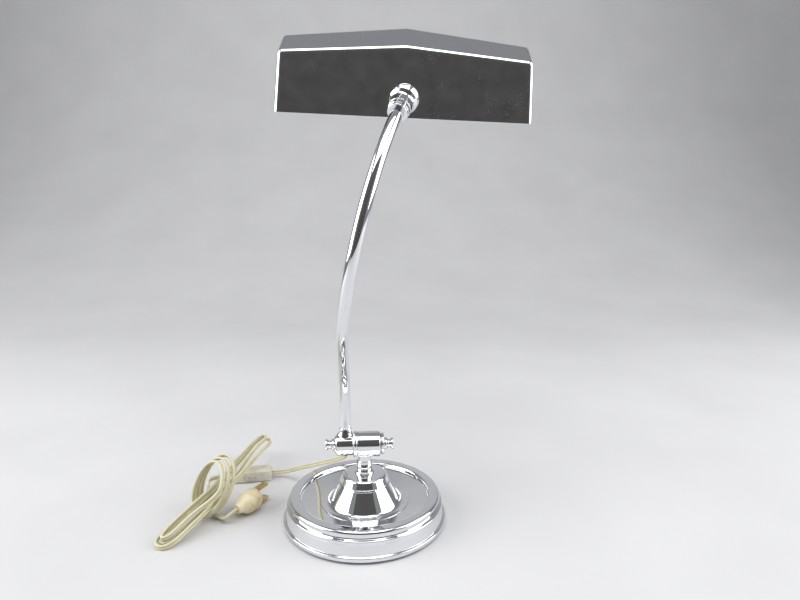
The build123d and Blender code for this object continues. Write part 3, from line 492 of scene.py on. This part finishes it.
shell_outside = [
    (ROD_HOLE_R, DISH_FLOOR_Z), (DISH_FLAT_R, DISH_FLOOR_Z), (TORUS_INNER - 0.6, DISH_EDGE_Z, 0.5),
    (TORUS_INNER, TORUS_TOP, 3.6), (TORUS_OUTER, TORUS_TOP, 4.6), (GROOVE_R, BEAD_TOP + 0.8, 0.4),
    (BEAD_R, BEAD_TOP, 0.9), (BEAD_R, BAND_TOP + 0.4, 0.9), (BEAD_FOOT_R, BAND_TOP, 0.2),
    (BAND_R, LIP_TOP, 0.4), (BASE_R, LIP_TOP - 0.2, LIP_ROUND), (BASE_R, SHELL_BOTTOM, LIP_ROUND),
]
shell_inside = [
    (BAND_R - BASE_WALL, SHELL_BOTTOM), (BEAD_FOOT_R - BASE_WALL, BAND_TOP),
    (GROOVE_R - BASE_WALL, BEAD_TOP), (TORUS_OUTER - BASE_WALL, TORUS_TOP - BASE_WALL, 2.5),
    (TORUS_INNER + BASE_WALL, TORUS_TOP - BASE_WALL, 2.0),
    (TORUS_INNER + BASE_WALL, DISH_EDGE_Z - BASE_WALL), (DISH_FLAT_R, DISH_FLOOR_Z - BASE_WALL),
    (ROD_HOLE_R, DISH_FLOOR_Z - BASE_WALL),
]
turned("base_chrome", "base", WORLD, shell_outside + shell_inside, "base_shell", around=288)
print("base:", len(chrome_pieces[-1].data.polygons), "quads")

# %% Bell, cap and neck
BELL_SEAT_Z = DISH_FLOOR_Z + 0.02
BELL_FOOT_R = 38.2
BELL_FOOT_Z = 17.21
BELL_SPREAD_R = 31.6
BELL_SPREAD_Z = 16.33
BELL_FLARE_R = 8.5
BELL_TOP_R = 20.6
BELL_TOP_Z = 33.4
BELL_WALL = 1.7
CAP_BORE_R = 4.0
CAP_R = 21.7
CAP_LIP_Z = BELL_TOP_Z + 1.8
CAP_SIDE_R = 21.1
CAP_SHOULDER_R = 18.3
CAP_SHOULDER_Z = BELL_TOP_Z + 8.2
CAP_CROWN_R = 9.0
CAP_TOP = BELL_TOP_Z + 8.6
NECK_BORE_R = 2.0
NECK_FOOT_R = 8.2
NECK_FOOT_Z = CAP_TOP + 3.0
NECK_STEM_R = 6.6
NECK_STEP = CAP_TOP + 11.4
NECK_R = 5.8
NECK_TOP = PIVOT_Z - 8.0

bell_outline = [
    (DISH_FLAT_R, BELL_SEAT_Z), (BELL_FOOT_R, BELL_FOOT_Z), (BELL_FOOT_R - 0.2, BELL_FOOT_Z + 0.39, 0.15),
    (BELL_SPREAD_R, BELL_SPREAD_Z, BELL_FLARE_R), (BELL_TOP_R, BELL_TOP_Z),
    (BELL_TOP_R - BELL_WALL, BELL_TOP_Z), (BELL_SPREAD_R - BELL_WALL, BELL_SEAT_Z),
]
cap_outline = [
    (CAP_BORE_R, BELL_TOP_Z), (CAP_R, BELL_TOP_Z, 0.5), (CAP_R, CAP_LIP_Z, 0.5),
    (CAP_SIDE_R, CAP_LIP_Z + 0.3, 0.2), (CAP_SHOULDER_R, CAP_SHOULDER_Z, 3.2), (CAP_CROWN_R, CAP_TOP),
    (CAP_BORE_R, CAP_TOP),
]
neck_outline = [
    (NECK_BORE_R, CAP_TOP), (NECK_FOOT_R, CAP_TOP, 0.4), (NECK_FOOT_R - 0.3, NECK_FOOT_Z - 0.9, 0.9),
    (NECK_STEM_R, NECK_FOOT_Z, 0.4), (NECK_STEM_R, NECK_STEP, 0.6), (NECK_R, NECK_STEP + 0.6, 0.3),
    (NECK_R, NECK_TOP), (NECK_BORE_R, NECK_TOP),
]
turned("bell_chrome", "base", WORLD, bell_outline, "bell", around=224)
turned("cap_chrome", "base", WORLD, cap_outline, "bell_cap", around=192)
turned("neck_chrome", "base", WORLD, neck_outline, "neck")
print("base, bell, cap and neck:", len(chrome_pieces), "turned pieces")

# %% [markdown]
# ## Knuckle
# Two barrels on one bolt: the right one belongs to the base and the left one to the arm, with a flange
# between. A cone closes the left end, a ring the right, and each end has a small flared spool.

# %% Knuckle
FACE_GAP = 0.05
BOLT_R = 2.5
FIXED_R = 10.7
FIXED_START = -5.8
FIXED_END = FIXED_START + 19.35
FLANGE_R = 11.1
FLANGE_START = FIXED_START - 3.4
ARM_BARREL_R = 9.3
BARREL_END = FLANGE_START - FACE_GAP
BARREL_START = BARREL_END - 14.2
LEFT_CAP_R = 8.9
LEFT_CAP_START = BARREL_START - FACE_GAP
LEFT_CAP_END = LEFT_CAP_START - 2.6
END_RING_R = 9.1
RING_START = FIXED_END + 1.4
RING_SHOULDER = RING_START + 1.65
RING_END = RING_START + 3.0
SPOOL_BORE_R = 1.2
SPOOL_SEAT_R = 5.0
SPOOL_WAIST_R = 3.3
SPOOL_R = 4.8
SPOOL_LEN = 6.8


def drum(radius, start, end, start_fillet, end_fillet):
    """Outline of a plain drum on the bolt."""
    return [(BOLT_R, start), (radius, start, start_fillet), (radius, end, end_fillet), (BOLT_R, end)]


def spool(start, way):
    """Outline of a flared spool that grows along the bolt from its seat, with a dimple in its end."""
    outline = [
        (SPOOL_BORE_R, 0), (SPOOL_SEAT_R, 0, 0.4), (SPOOL_SEAT_R, 0.8, 0.4), (SPOOL_WAIST_R, 2.6, 1.6),
        (SPOOL_WAIST_R, 4.0, 1.2), (SPOOL_R, 5.5, 0.6), (SPOOL_R, SPOOL_LEN, 0.6), (2.8, SPOOL_LEN, 0.3),
        (SPOOL_BORE_R, SPOOL_LEN - 0.5),
    ]
    return [(radius, start + way * height, *fillet) for radius, height, *fillet in outline]


knuckle_outlines = {
    "fixed_barrel": drum(FIXED_R, FIXED_START, FIXED_END, 0.6, 1.0),
    "barrel_flange": drum(FLANGE_R, FLANGE_START, FIXED_START, 1.5, 1.5),
    "end_ring": [
        (BOLT_R, RING_START), (END_RING_R, RING_START, 0.7), (END_RING_R, RING_SHOULDER, 0.8),
        (SPOOL_SEAT_R, RING_END, 0.3), (BOLT_R, RING_END),
    ],
    "left_cap": [
        (BOLT_R, LEFT_CAP_START), (LEFT_CAP_R, LEFT_CAP_START, 0.5), (SPOOL_SEAT_R, LEFT_CAP_END, 0.7),
        (BOLT_R, LEFT_CAP_END),
    ],
    "left_spool": spool(LEFT_CAP_END, -1),
}
for name, outline in knuckle_outlines.items():
    turned(name + "_chrome", "base", KNUCKLE, outline, name)
turned("thumb_nut_chrome", "thumb_nut", KNUCKLE, spool(RING_END + FACE_GAP, 1), "thumb_nut")
barrel_outline = drum(ARM_BARREL_R, BARREL_START, BARREL_END, 0.9, 0.7)
turned("arm_barrel_chrome", "arm_knuckle", KNUCKLE, barrel_outline, "arm_barrel")
print("knuckle:", len(chrome_pieces), "turned pieces so far")

# %% Collar at the foot of the arm
TUBE_HOLE_R = 4.8
COLLAR_R = 5.3
COLLAR_FLARE_TOP = 13.6
COLLAR_TOP = 14.4
COLLAR_BOTTOM = 6.0
COLLAR_SPREAD = 1.7
COLLAR_SPREAD_LEFT = 0.5
COLLAR_SINK = 0.05


def saddle():
    """A collar that grows out of the barrel: with q from 0 to a quarter turn, its radius is the collar's
    plus spread·(1 - sin q), and its height climbs by (1 - cos q) from the barrel's own surface, the root of
    R² - (r sin a)², to the top of the flare. The spread is wider on the left, where the barrel has more
    room."""
    q = np.linspace(0, math.pi / 2, 14)[:, None]
    angle = full_turn(96)
    spread = COLLAR_SPREAD - COLLAR_SPREAD_LEFT * np.cos(angle)
    r = COLLAR_R + spread * (1 - np.sin(q))
    seat = np.sqrt(ARM_BARREL_R**2 - (r * np.sin(angle)) ** 2) - COLLAR_SINK
    h = seat + (COLLAR_FLARE_TOP - seat) * (1 - np.cos(q))
    rim = np.array([
        (COLLAR_R, COLLAR_TOP), (TUBE_HOLE_R + 0.1, COLLAR_TOP), (TUBE_HOLE_R, COLLAR_TOP - 0.2),
        (TUBE_HOLE_R, COLLAR_BOTTOM),
    ])
    grid = round_axis(np.vstack([r, rim[:, :1] + 0 * angle]), np.vstack([h, rim[:, 1:] + 0 * angle]), angle)
    plated(grid_mesh("arm_collar_chrome", place(grid, ARM), wrap_rows=True), "arm_knuckle", "arm_collar")


saddle()
print("collar:", len(chrome_pieces[-1].data.polygons), "quads")

# %% [markdown]
# ## Ball swivel
# A stepped collar and a flared cup sit on the end of the tube. The cup holds a ball, and the ball's hollow
# stud goes through the back of the shade.

# %% Swivel
TUBE_SPIGOT = 8.0
SWIVEL_COLLAR_R = 7.7
SWIVEL_COLLAR_LEN = 6.1
SWIVEL_STEP = 0.4
STEP_Z = 0.4 * SWIVEL_COLLAR_LEN
CUP_R = 8.5
CUP_RIM_R = 10.9
CUP_RIM = SWIVEL_LEN - 5.0
CUP_FLARE_LEN = 3.2
CUP_FLARE_R = 4.0
BALL_R = 11.2
BALL_PLAY = 0.05
WIRE_HOLE_R = 2.4
STUD_R = 5.0
STUD_END = -7.2


def ball_arc(radius, middle, start, end):
    """Corners (radius sin a, middle + radius cos a) of a ball between two angles from its axis."""
    angle = np.linspace(start, end, 40)
    return list(zip(radius * np.sin(angle), middle + radius * np.cos(angle)))


swivel_collar = [
    (TUBE_HOLE_R, 0), (SWIVEL_COLLAR_R, 0, 0.7), (SWIVEL_COLLAR_R, STEP_Z, 0.25),
    (SWIVEL_COLLAR_R + SWIVEL_STEP, STEP_Z + SWIVEL_STEP, 0.25),
    (SWIVEL_COLLAR_R + SWIVEL_STEP, SWIVEL_COLLAR_LEN, 0.4), (TUBE_HOLE_R, SWIVEL_COLLAR_LEN),
]
cup_seat_r = BALL_R + BALL_PLAY
seat_edge = math.pi - math.acos((SWIVEL_LEN - CUP_RIM) / cup_seat_r)
seat_hole = math.pi - math.asin(WIRE_HOLE_R / cup_seat_r)
cup_outline = [
    (TUBE_HOLE_R, SWIVEL_COLLAR_LEN), (CUP_R, SWIVEL_COLLAR_LEN, 0.4),
    (CUP_R, CUP_RIM - CUP_FLARE_LEN, CUP_FLARE_R), (CUP_RIM_R, CUP_RIM, 0.25),
    *ball_arc(cup_seat_r, SWIVEL_LEN, seat_edge, seat_hole),
    (WIRE_HOLE_R, TUBE_SPIGOT), (TUBE_HOLE_R, TUBE_SPIGOT),
]
ball_back = math.acos(-BALL_PROUD / BALL_R)
ball_hole = math.asin(WIRE_HOLE_R / BALL_R)
ball_outline = [
    (WIRE_HOLE_R, STUD_END), (STUD_R, STUD_END, 0.4), (STUD_R, 0),
    *ball_arc(BALL_R, BALL_PROUD, ball_back, ball_hole),
]
turned("swivel_collar_chrome", "swivel", SWIVEL, swivel_collar, "swivel_collar")
turned("swivel_cup_chrome", "swivel", SWIVEL, cup_outline, "swivel_cup")
turned("swivel_ball_chrome", "shade", SEAT, ball_outline, "swivel_ball")
print("knuckle and swivel:", len(chrome_pieces), "chrome pieces so far")

# %% [markdown]
# ## Arm
# One length of plated tube in a swan neck: a short foot, a bend to the back, a straight run and one long
# bend to the front. The wall is a ring carried along that centre line, outside first and back along the
# inside.

# %% Arm tube
TUBE_R = 4.75
TUBE_WALL = 1.0
TUBE_FOOT = 7.8


def arm_tube():
    """Rings about the centre line: width = x axis less its part along the tube, height = tube × width."""
    up = np.linspace(0, 1, 24)[:, None]
    neck = np.linspace(0, FOOT_LEAN + ARM_LEAN, 80)[1:]
    sweep = np.linspace(0, ARM_SWEEP, 240)[1:]
    line = np.vstack([
        ARM[0] + (TUBE_FOOT + (FOOT_LEN - TUBE_FOOT) * up) * foot_dir,
        bent(foot_end, foot_dir, foot_side, NECK_BEND_R, neck),
        run_start + ARM_RUN * up[1:] * run_dir,
        bent(run_end, run_dir, bend_dir, ARM_BEND_R, sweep),
        bend_end + TUBE_SPIGOT * end_dir,
    ])
    heading = headings(unit(np.diff(line, axis=0)))
    width = unit(np.array([1, 0, 0]) - heading * heading[:, :1])
    height = np.cross(heading, width)
    angle = full_turn(96)[None, :, None]
    ring = width[:, None] * np.cos(angle) + height[:, None] * np.sin(angle)
    outside = line[:, None] + TUBE_R * ring
    inside = line[:, None] + (TUBE_R - TUBE_WALL) * ring
    grid = np.vstack([outside, inside[::-1]])
    plated(grid_mesh("arm_tube_chrome", grid, wrap_rows=True), "arm", "arm_tube")


arm_tube()
print("arm:", len(chrome_pieces[-1].data.polygons), "quads")

# %% [markdown]
# ## Shade
# A hood folded from sheet: a flat back panel, a short slope up to the crest, a long roof down to the front
# and a low lip, with a gable that lifts the middle. The section is drawn once with rounded folds, carried
# along the width, and rolled over at each end into a flat end wall. Solidify gives the sheet its thickness,
# with enamel inside.

# %% Shade surface
SHADE_HALF = 98.4
SHADE_DRAFT = math.tan(math.radians(5.0))
SHADE_WALL = 1.0
PANEL_DROP = 15.2
PANEL_TOP = 28.1
CREST_DEPTH = 21.2
CREST_TOP = 40.6
SHADE_DEPTH = 88.5
FRONT_LEAN = 1.5
FRONT_TOP = 17.5
FRONT_BOTTOM = 5.5
GABLE_BACK = 6.4
GABLE_CREST = 8.9
GABLE_FRONT = 6.0
FOLDS = (4.6, 8.0, 5.0)
END_FOLD = 4.0
FLAT_HOLD = 0.3
RIDGE_SOFT = 1.2
SETTLING_PASSES = 4
TOP_HALF = SHADE_HALF - (PANEL_DROP + PANEL_TOP) * SHADE_DRAFT


def hood_corners(gable):
    """Corners (depth, height) of the section for each gable share, from the back rim to the front rim."""
    flat = np.array([
        (0, -PANEL_DROP), (0, PANEL_TOP), (CREST_DEPTH, CREST_TOP), (SHADE_DEPTH - FRONT_LEAN, FRONT_TOP),
        (SHADE_DEPTH, FRONT_BOTTOM),
    ])
    lift = np.array([0, GABLE_BACK, GABLE_CREST, GABLE_FRONT, 0])
    corners = np.repeat(flat[None], len(gable), axis=0)
    corners[:, :, 1] += gable[:, None] * lift
    return corners


def hood_section(gable, inward):
    """The section with rounded folds, drawn in by a distance: each fold is an arc whose radius shrinks by
    as much. Straight runs hold points near the folds, so that flat sheet stays flat in the shading."""
    corners = hood_corners(gable)
    run = unit(np.diff(corners, axis=1))
    inner = np.stack([run[:, :, 1], -run[:, :, 0]], -1)
    moved = corners + 0
    moved[:, 0] += inner[:, 0] * inward
    moved[:, -1] += inner[:, -1] * inward
    points = [moved[:, 0], moved[:, 0] + run[:, 0] * FLAT_HOLD]
    for k, fold in enumerate(FOLDS, 1):
        before, after = run[:, k - 1], run[:, k]
        normal = inner[:, k - 1]
        share = 1 + (normal * inner[:, k]).sum(1)
        moved[:, k] += (normal + inner[:, k]) / share[:, None] * inward
        radius = fold - inward
        bend = np.arccos(np.clip((before * after).sum(1), -1, 1))
        cut = (radius * np.tan(bend / 2))[:, None]
        start = moved[:, k] - before * cut
        end = moved[:, k] + after * cut
        middle = start + normal * radius
        turn = np.linspace(0, 1, 13)[:, None, None] * bend[:, None]
        arc = middle + radius * (before * np.sin(turn) - normal * np.cos(turn))
        points += [start - before * FLAT_HOLD, *arc, end + after * FLAT_HOLD]
    points += [moved[:, -1] - run[:, -1] * FLAT_HOLD, moved[:, -1]]
    return np.stack(points, 1)


def hood_columns(share, inward, outward):
    """Section columns at shares of the half width: x = share·(half - draft·height - fold) + side·outward.
    The gable falls with x, and x follows the gable's height, so a few passes settle them."""
    x = share * TOP_HALF
    for _ in range(SETTLING_PASSES):
        gable = 1 - np.sqrt(x**2 + RIDGE_SOFT**2) / TOP_HALF
        section = hood_section(gable, inward)
        half = SHADE_HALF - (section[:, :, 1] + PANEL_DROP) * SHADE_DRAFT
        x = (share[:, None] * half).mean(1)
    reach = share[:, None] * (half - END_FOLD) + (np.sign(share) * outward)[:, None]
    return np.stack([reach, section[:, :, 0], section[:, :, 1]], -1)


def hood_end(side):
    """Columns of one end: the roll over the end fold, then the wall down to the line between the rims."""
    share = np.array([side])
    q = np.linspace(0, math.pi / 2, 11)[1:]
    roll = np.concatenate([
        hood_columns(share, END_FOLD * (1 - math.cos(a)), END_FOLD * math.sin(a)) for a in q
    ])
    last = roll[-1]
    low = last[0] + (last[-1] - last[0]) * np.linspace(0, 1, len(last))[:, None]
    down = np.r_[0.02, np.linspace(0.1, 0.9, 8), 0.985, 1][:, None, None]
    wall = last + (low - last) * down
    wall[:, :, 0] = side * (SHADE_HALF - (wall[:, :, 2] + PANEL_DROP) * SHADE_DRAFT)
    return np.concatenate([roll, wall])


def hood_surface():
    """Left end, roof and right end, side by side as one grid of columns."""
    half_roof = np.linspace(0.02, 1, 40)
    roof = hood_columns(np.r_[-half_roof[::-1], 0, half_roof], 0.0, 0.0)
    return np.concatenate([hood_end(-1.0)[::-1], roof, hood_end(1.0)])


shade = weld(grid_mesh("shade_chrome", place(hood_surface(), SHADE), wrap_columns=False, flip=True))
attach(shade, "shade")
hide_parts("shade_shell")
sheet = shade.modifiers.new("sheet", "SOLIDIFY")
sheet.thickness = SHADE_WALL * MM
sheet.offset = -1.0
sheet.use_even_offset = True
sheet.material_offset = 1
sheet.material_offset_rim = 0
print("shade:", len(shade.data.polygons), "quads before its thickness")


# %% [markdown]
# ## Materials
# Chrome is a mirror with faint wear: its roughness wanders a little, and a few dull specks darken it. Old
# vinyl cord is cream, with painted shade darkening its groove. Each finish below is one procedural material
# on Object coordinates, and the cord's also reads its own UV map.

# %% Material helpers
def finish(name, **sockets):
    """A new material with its shader's plain values set, and its node tree for more."""
    material = bpy.data.materials.new(name)
    material.use_nodes = True
    tree = material.node_tree
    shader = tree.nodes["Principled BSDF"]
    for socket, value in sockets.items():
        shader.inputs[socket.replace("_", " ")].default_value = value
    return material, tree, shader


def node(tree, kind, links=(), **values):
    """A node with its settings and inputs; links feed its inputs from other nodes' outputs."""
    made = tree.nodes.new(kind)
    for key, value in values.items():
        if hasattr(made, key):
            setattr(made, key, value)
        else:
            made.inputs[key.replace("_", " ")].default_value = value
    for socket, source in links:
        tree.links.new(source, made.inputs[socket])
    return made


def object_space(tree):
    """Object coordinates, in metres."""
    return node(tree, "ShaderNodeTexCoord").outputs["Object"]


def cloud(tree, where, scale, detail=3.0, roughness=0.5):
    """A noise pattern on Object coordinates, in features per metre."""
    noise = node(tree, "ShaderNodeTexNoise", [("Vector", where)],
                 Scale=scale, Detail=detail, Roughness=roughness)
    return noise.outputs["Fac"]


def calc(tree, operation, first, second=None):
    """One step of arithmetic on a pattern, with another pattern or a plain number where it takes two."""
    made = node(tree, "ShaderNodeMath", [(0, first)], operation=operation)
    if isinstance(second, float):
        made.inputs[1].default_value = second
    elif second is not None:
        tree.links.new(second, made.inputs[1])
    return made.outputs[0]


def band(tree, source, low, high, to_low, to_high):
    """A pattern's range, stretched to other limits."""
    made = node(tree, "ShaderNodeMapRange", [("Value", source)])
    for socket, value in zip(("From Min", "From Max", "To Min", "To Max"), (low, high, to_low, to_high)):
        made.inputs[socket].default_value = value
    return made.outputs["Result"]


def tint(tree, source, stops):
    """Colours along a pattern."""
    made = node(tree, "ShaderNodeValToRGB", [("Fac", source)])
    ramp = made.color_ramp.elements
    while len(ramp) < len(stops):
        ramp.new(0.5)
    for spot, (position, colour) in zip(ramp, stops):
        spot.position = position
        spot.color = (*colour, 1)
    return made.outputs["Color"]


def paint(tree, shader, source, stops):
    """Colours along a pattern, as the shader's base colour."""
    tree.links.new(tint(tree, source, stops), shader.inputs["Base Color"])


def bump(tree, shader, source, strength, distance):
    """A pattern as relief on the shader's normal."""
    relief = node(tree, "ShaderNodeBump", [("Height", source)], Strength=strength, Distance=distance)
    tree.links.new(relief.outputs["Normal"], shader.inputs["Normal"])


# %% Chrome and enamel
def chrome():
    """Mirror plate: roughness wanders between clean and wiped, with dull specks where it is pitted."""
    material, tree, shader = finish("chrome_plate", Metallic=1.0)
    where = object_space(tree)
    wiped = band(tree, cloud(tree, where, 55.0, 4.0), 0.35, 0.75, 0.025, 0.085)
    pits = node(tree, "ShaderNodeTexVoronoi", [("Vector", where)], Scale=700.0).outputs["Distance"]
    patch = band(tree, cloud(tree, where, 30.0, 2.0), 0.56, 0.7, 0.0, 1.0)
    dot = band(tree, pits, 0.10, 0.16, 1.0, 0.0)
    speck = calc(tree, "MULTIPLY", patch, dot)
    tree.links.new(calc(tree, "ADD", wiped, speck), shader.inputs["Roughness"])
    paint(tree, shader, speck, [(0.0, (0.80, 0.81, 0.83)), (1.0, (0.42, 0.40, 0.38))])
    return material


def enamel():
    """White enamel inside the shade, a little yellowed by the lamp's heat."""
    material, tree, shader = finish("shade_enamel", Roughness=0.35)
    where = object_space(tree)
    stops = [(0.3, (0.74, 0.72, 0.66)), (0.7, (0.80, 0.79, 0.75))]
    paint(tree, shader, cloud(tree, where, 18.0, 4.0), stops)
    bump(tree, shader, cloud(tree, where, 900.0, 2.0), 0.15, 0.0002)
    return material


plate = chrome()
for piece in [*chrome_pieces, shade]:
    piece.data.materials.append(plate)
shade.data.materials.append(enamel())
print("chrome:", len(chrome_pieces) + 1, "pieces")


# %% Cord
def vinyl():
    """Cream flex: its colour drifts, and the groove between the cores is darkened with painted shade. The
    groove is where the share round the section is a quarter or three quarters, so the painted shade falls
    off with the distance |pingpong(share) - 1/4|."""
    material, tree, shader = finish("cream_vinyl", Roughness=0.42)
    where = object_space(tree)
    stops = [(0.3, (0.56, 0.52, 0.34)), (0.55, (0.66, 0.63, 0.44)), (0.8, (0.71, 0.68, 0.52))]
    drift = tint(tree, cloud(tree, where, 40.0, 4.0), stops)
    uv = node(tree, "ShaderNodeUVMap").outputs["UV"]
    share = node(tree, "ShaderNodeSeparateXYZ", [(0, uv)]).outputs["Y"]
    there_and_back = calc(tree, "PINGPONG", share, 0.5)
    gap = calc(tree, "ABSOLUTE", calc(tree, "SUBTRACT", there_and_back, 0.25))
    # painted shade: the groove between the cores is mixed towards a dark brown grey
    groove_shade = band(tree, gap, 0.01, 0.06, 0.45, 0.0)
    mixed = node(tree, "ShaderNodeMix", [("Factor", groove_shade), (6, drift)], data_type="RGBA")
    mixed.inputs[7].default_value = (0.30, 0.25, 0.14, 1)
    tree.links.new(mixed.outputs[2], shader.inputs["Base Color"])
    bump(tree, shader, cloud(tree, where, 1400.0, 2.0), 0.12, 0.0001)
    return material


flex_vinyl = vinyl()
for piece in (lead, hank):
    piece.data.materials.append(flex_vinyl)
print("cord:", flex_vinyl.name)


# %% Plastics, metals, glass and felt
def moulded(name, light, dark, roughness, grain=600.0):
    """Moulded plastic or a raw casting: a slow drift of colour and a fine grain."""
    material, tree, shader = finish(name, Roughness=roughness)
    where = object_space(tree)
    paint(tree, shader, cloud(tree, where, 70.0, 5.0, 0.6), [(0.32, dark), (0.62, light)])
    bump(tree, shader, cloud(tree, where, grain, 2.0), 0.15, 0.0001)
    return material


def metal(name, light, dark, rough_low, rough_high):
    """Bare metal: tarnish drifts between two colours and dulls the shine."""
    material, tree, shader = finish(name, Metallic=1.0)
    drift = cloud(tree, object_space(tree), 120.0, 5.0, 0.6)
    paint(tree, shader, drift, [(0.3, dark), (0.65, light)])
    tree.links.new(band(tree, drift, 0.3, 0.7, rough_high, rough_low), shader.inputs["Roughness"])
    return material


def glass():
    """Clear bulb glass with the faintest haze."""
    material, tree, shader = finish("bulb_glass", Transmission_Weight=1.0, IOR=1.47)
    shader.inputs["Base Color"].default_value = (0.97, 0.97, 0.95, 1)
    haze = band(tree, cloud(tree, object_space(tree), 50.0), 0.3, 0.7, 0.0, 0.05)
    tree.links.new(haze, shader.inputs["Roughness"])
    return material


def felt():
    """Green felt: matted fibres in two sizes."""
    material, tree, shader = finish("felt", Roughness=0.95)
    where = object_space(tree)
    stops = [(0.3, (0.02, 0.04, 0.025)), (0.7, (0.06, 0.10, 0.07))]
    paint(tree, shader, cloud(tree, where, 900.0, 6.0, 0.7), stops)
    bump(tree, shader, cloud(tree, where, 1800.0, 4.0), 0.6, 0.0004)
    return material


switch_nodes = ["switch_base", "switch_cover"]
brass_nodes = ["plug_blades", "socket_sleeve", "socket_contact"]
steel_nodes = [
    "centre_rod", "base_washer", "base_nut", "pivot_bolt", "spring_washer", "clamp_washer", "clamp_nut",
    "socket_bracket", "switch_screw",
]
finishes = {
    moulded("plug_plastic", (0.80, 0.72, 0.50), (0.55, 0.42, 0.24), 0.38): ["plug_body"],
    moulded("switch_plastic", (0.70, 0.68, 0.58), (0.52, 0.49, 0.38), 0.35): switch_nodes,
    moulded("wheel_plastic", (0.62, 0.60, 0.52), (0.40, 0.37, 0.28), 0.35): ["switch_wheel"],
    moulded("phenolic", (0.035, 0.032, 0.03), (0.02, 0.018, 0.016), 0.45): ["socket_shell"],
    moulded("bushing_plastic", (0.06, 0.055, 0.05), (0.03, 0.03, 0.03), 0.5): ["cord_bushing"],
    moulded("wire_plastic", (0.70, 0.64, 0.45), (0.52, 0.46, 0.30), 0.5): ["arm_wires"],
    metal("brass", (0.80, 0.62, 0.28), (0.48, 0.34, 0.14), 0.2, 0.45): brass_nodes,
    metal("cap_metal", (0.75, 0.74, 0.72), (0.50, 0.49, 0.47), 0.25, 0.45): ["bulb_cap"],
    metal("zinc_steel", (0.60, 0.60, 0.61), (0.40, 0.40, 0.41), 0.28, 0.45): steel_nodes,
    metal("filament_wire", (0.42, 0.42, 0.44), (0.25, 0.25, 0.26), 0.4, 0.6): ["bulb_filament"],
    moulded("cast_iron", (0.10, 0.10, 0.10), (0.05, 0.05, 0.05), 0.7, 300.0): ["base_weight"],
    felt(): ["felt_pad"],
    glass(): ["bulb_glass", "bulb_stem"],
}
for material, names in finishes.items():
    for name in names:
        nodes[name].data.materials.clear()
        nodes[name].data.materials.append(material)
print("finishes:", len(finishes), "besides chrome, enamel and vinyl")

# %% [markdown]
# ## Studio
# A pale sweep carries the lamp, with a broad soft light on each side, one above and one on the wall. A dark
# curtain stands behind the camera: polished metal shows it as the dark core between two bright bands, which
# gives the pieces their shape. The stage's sizes are in metres.

# %% Floor, backdrop and curtain
FLOOR_FRONT = -3.0
FLOOR_BACK = 0.7
SWEEP_R = 1.2
WALL_TOP = 3.2
STAGE_HALF = 4.0
CURTAIN_Y = -1.0
CURTAIN_HALF = 0.8
CURTAIN_TOP = 1.5


def sweep_profile():
    """Floor to its back edge, then an arc up to a wall, as (y, z)."""
    q = np.linspace(0, math.pi / 2, 48)
    arc = np.stack([FLOOR_BACK + SWEEP_R * np.sin(q), SWEEP_R - SWEEP_R * np.cos(q)], -1)
    return np.vstack([[FLOOR_FRONT, 0.0], arc, [FLOOR_BACK + SWEEP_R, WALL_TOP]])


def stage_sheet(name, profile, half):
    """A profile of (y, z) carried along x from -half to half."""
    x = np.array([-half, half])
    grid = np.stack([x + 0 * profile[:, :1], profile[:, :1] + 0 * x, profile[:, 1:] + 0 * x], -1)
    return grid_mesh(name, grid / MM, wrap_columns=False, flip=True)


def rough_sheet(name, roughness, scale, detail, dark, light):
    """Paper or cloth: one dull colour that drifts."""
    material, tree, shader = finish(name, Roughness=roughness)
    paint(tree, shader, cloud(tree, object_space(tree), scale, detail), [(0.3, dark), (0.7, light)])
    return material


backdrop = stage_sheet("backdrop", sweep_profile(), STAGE_HALF)
paper = rough_sheet("pale_paper", 0.85, 6.0, 3.0, (0.60, 0.60, 0.61), (0.64, 0.64, 0.65))
backdrop.data.materials.append(paper)
curtain_profile = np.array([(CURTAIN_Y, 0.0), (CURTAIN_Y, CURTAIN_TOP)])
curtain = stage_sheet("curtain", curtain_profile, CURTAIN_HALF)
curtain.visible_camera = False
cloth = rough_sheet("dark_cloth", 0.9, 30.0, 4.0, (0.04, 0.038, 0.036), (0.07, 0.066, 0.062))
curtain.data.materials.append(cloth)
print("stage:", backdrop.name, "and", curtain.name)


# %% Lights
def soft_light(name, spot, target, size, watts):
    """A rectangular soft light that faces a target."""
    data = bpy.data.lights.new(name, "AREA")
    data.shape = "RECTANGLE"
    data.size, data.size_y = size
    data.energy = watts
    light = bpy.data.objects.new(name, data)
    scene.collection.objects.link(light)
    light.location = spot
    light.rotation_euler = (Vector(target) - Vector(spot)).to_track_quat("-Z", "Y").to_euler()
    light.visible_camera = False


soft_light("left_soft", (-1.15, -0.15, 0.75), (0, 0, 0.25), (1.1, 1.2), 16.0)
soft_light("right_soft", (1.15, -0.15, 0.75), (0, 0, 0.25), (1.1, 1.2), 14.0)
soft_light("top_soft", (0.0, -0.5, 1.65), (0, -0.3, 0), (1.4, 1.0), 14.0)
soft_light("wall_soft", (0.0, 0.6, 1.7), (0, 1.9, 1.7), (2.8, 0.8), 7.0)
world = bpy.data.worlds.new("studio")
scene.world = world
world.use_nodes = True
sky = world.node_tree.nodes["Background"]
sky.inputs["Color"].default_value = (0.55, 0.56, 0.58, 1)
sky.inputs["Strength"].default_value = 0.5
scene.view_settings.view_transform = "Standard"
print("studio: 4 soft lights and a grey sky")

# %% Update the view layer
bpy.context.view_layer.update()
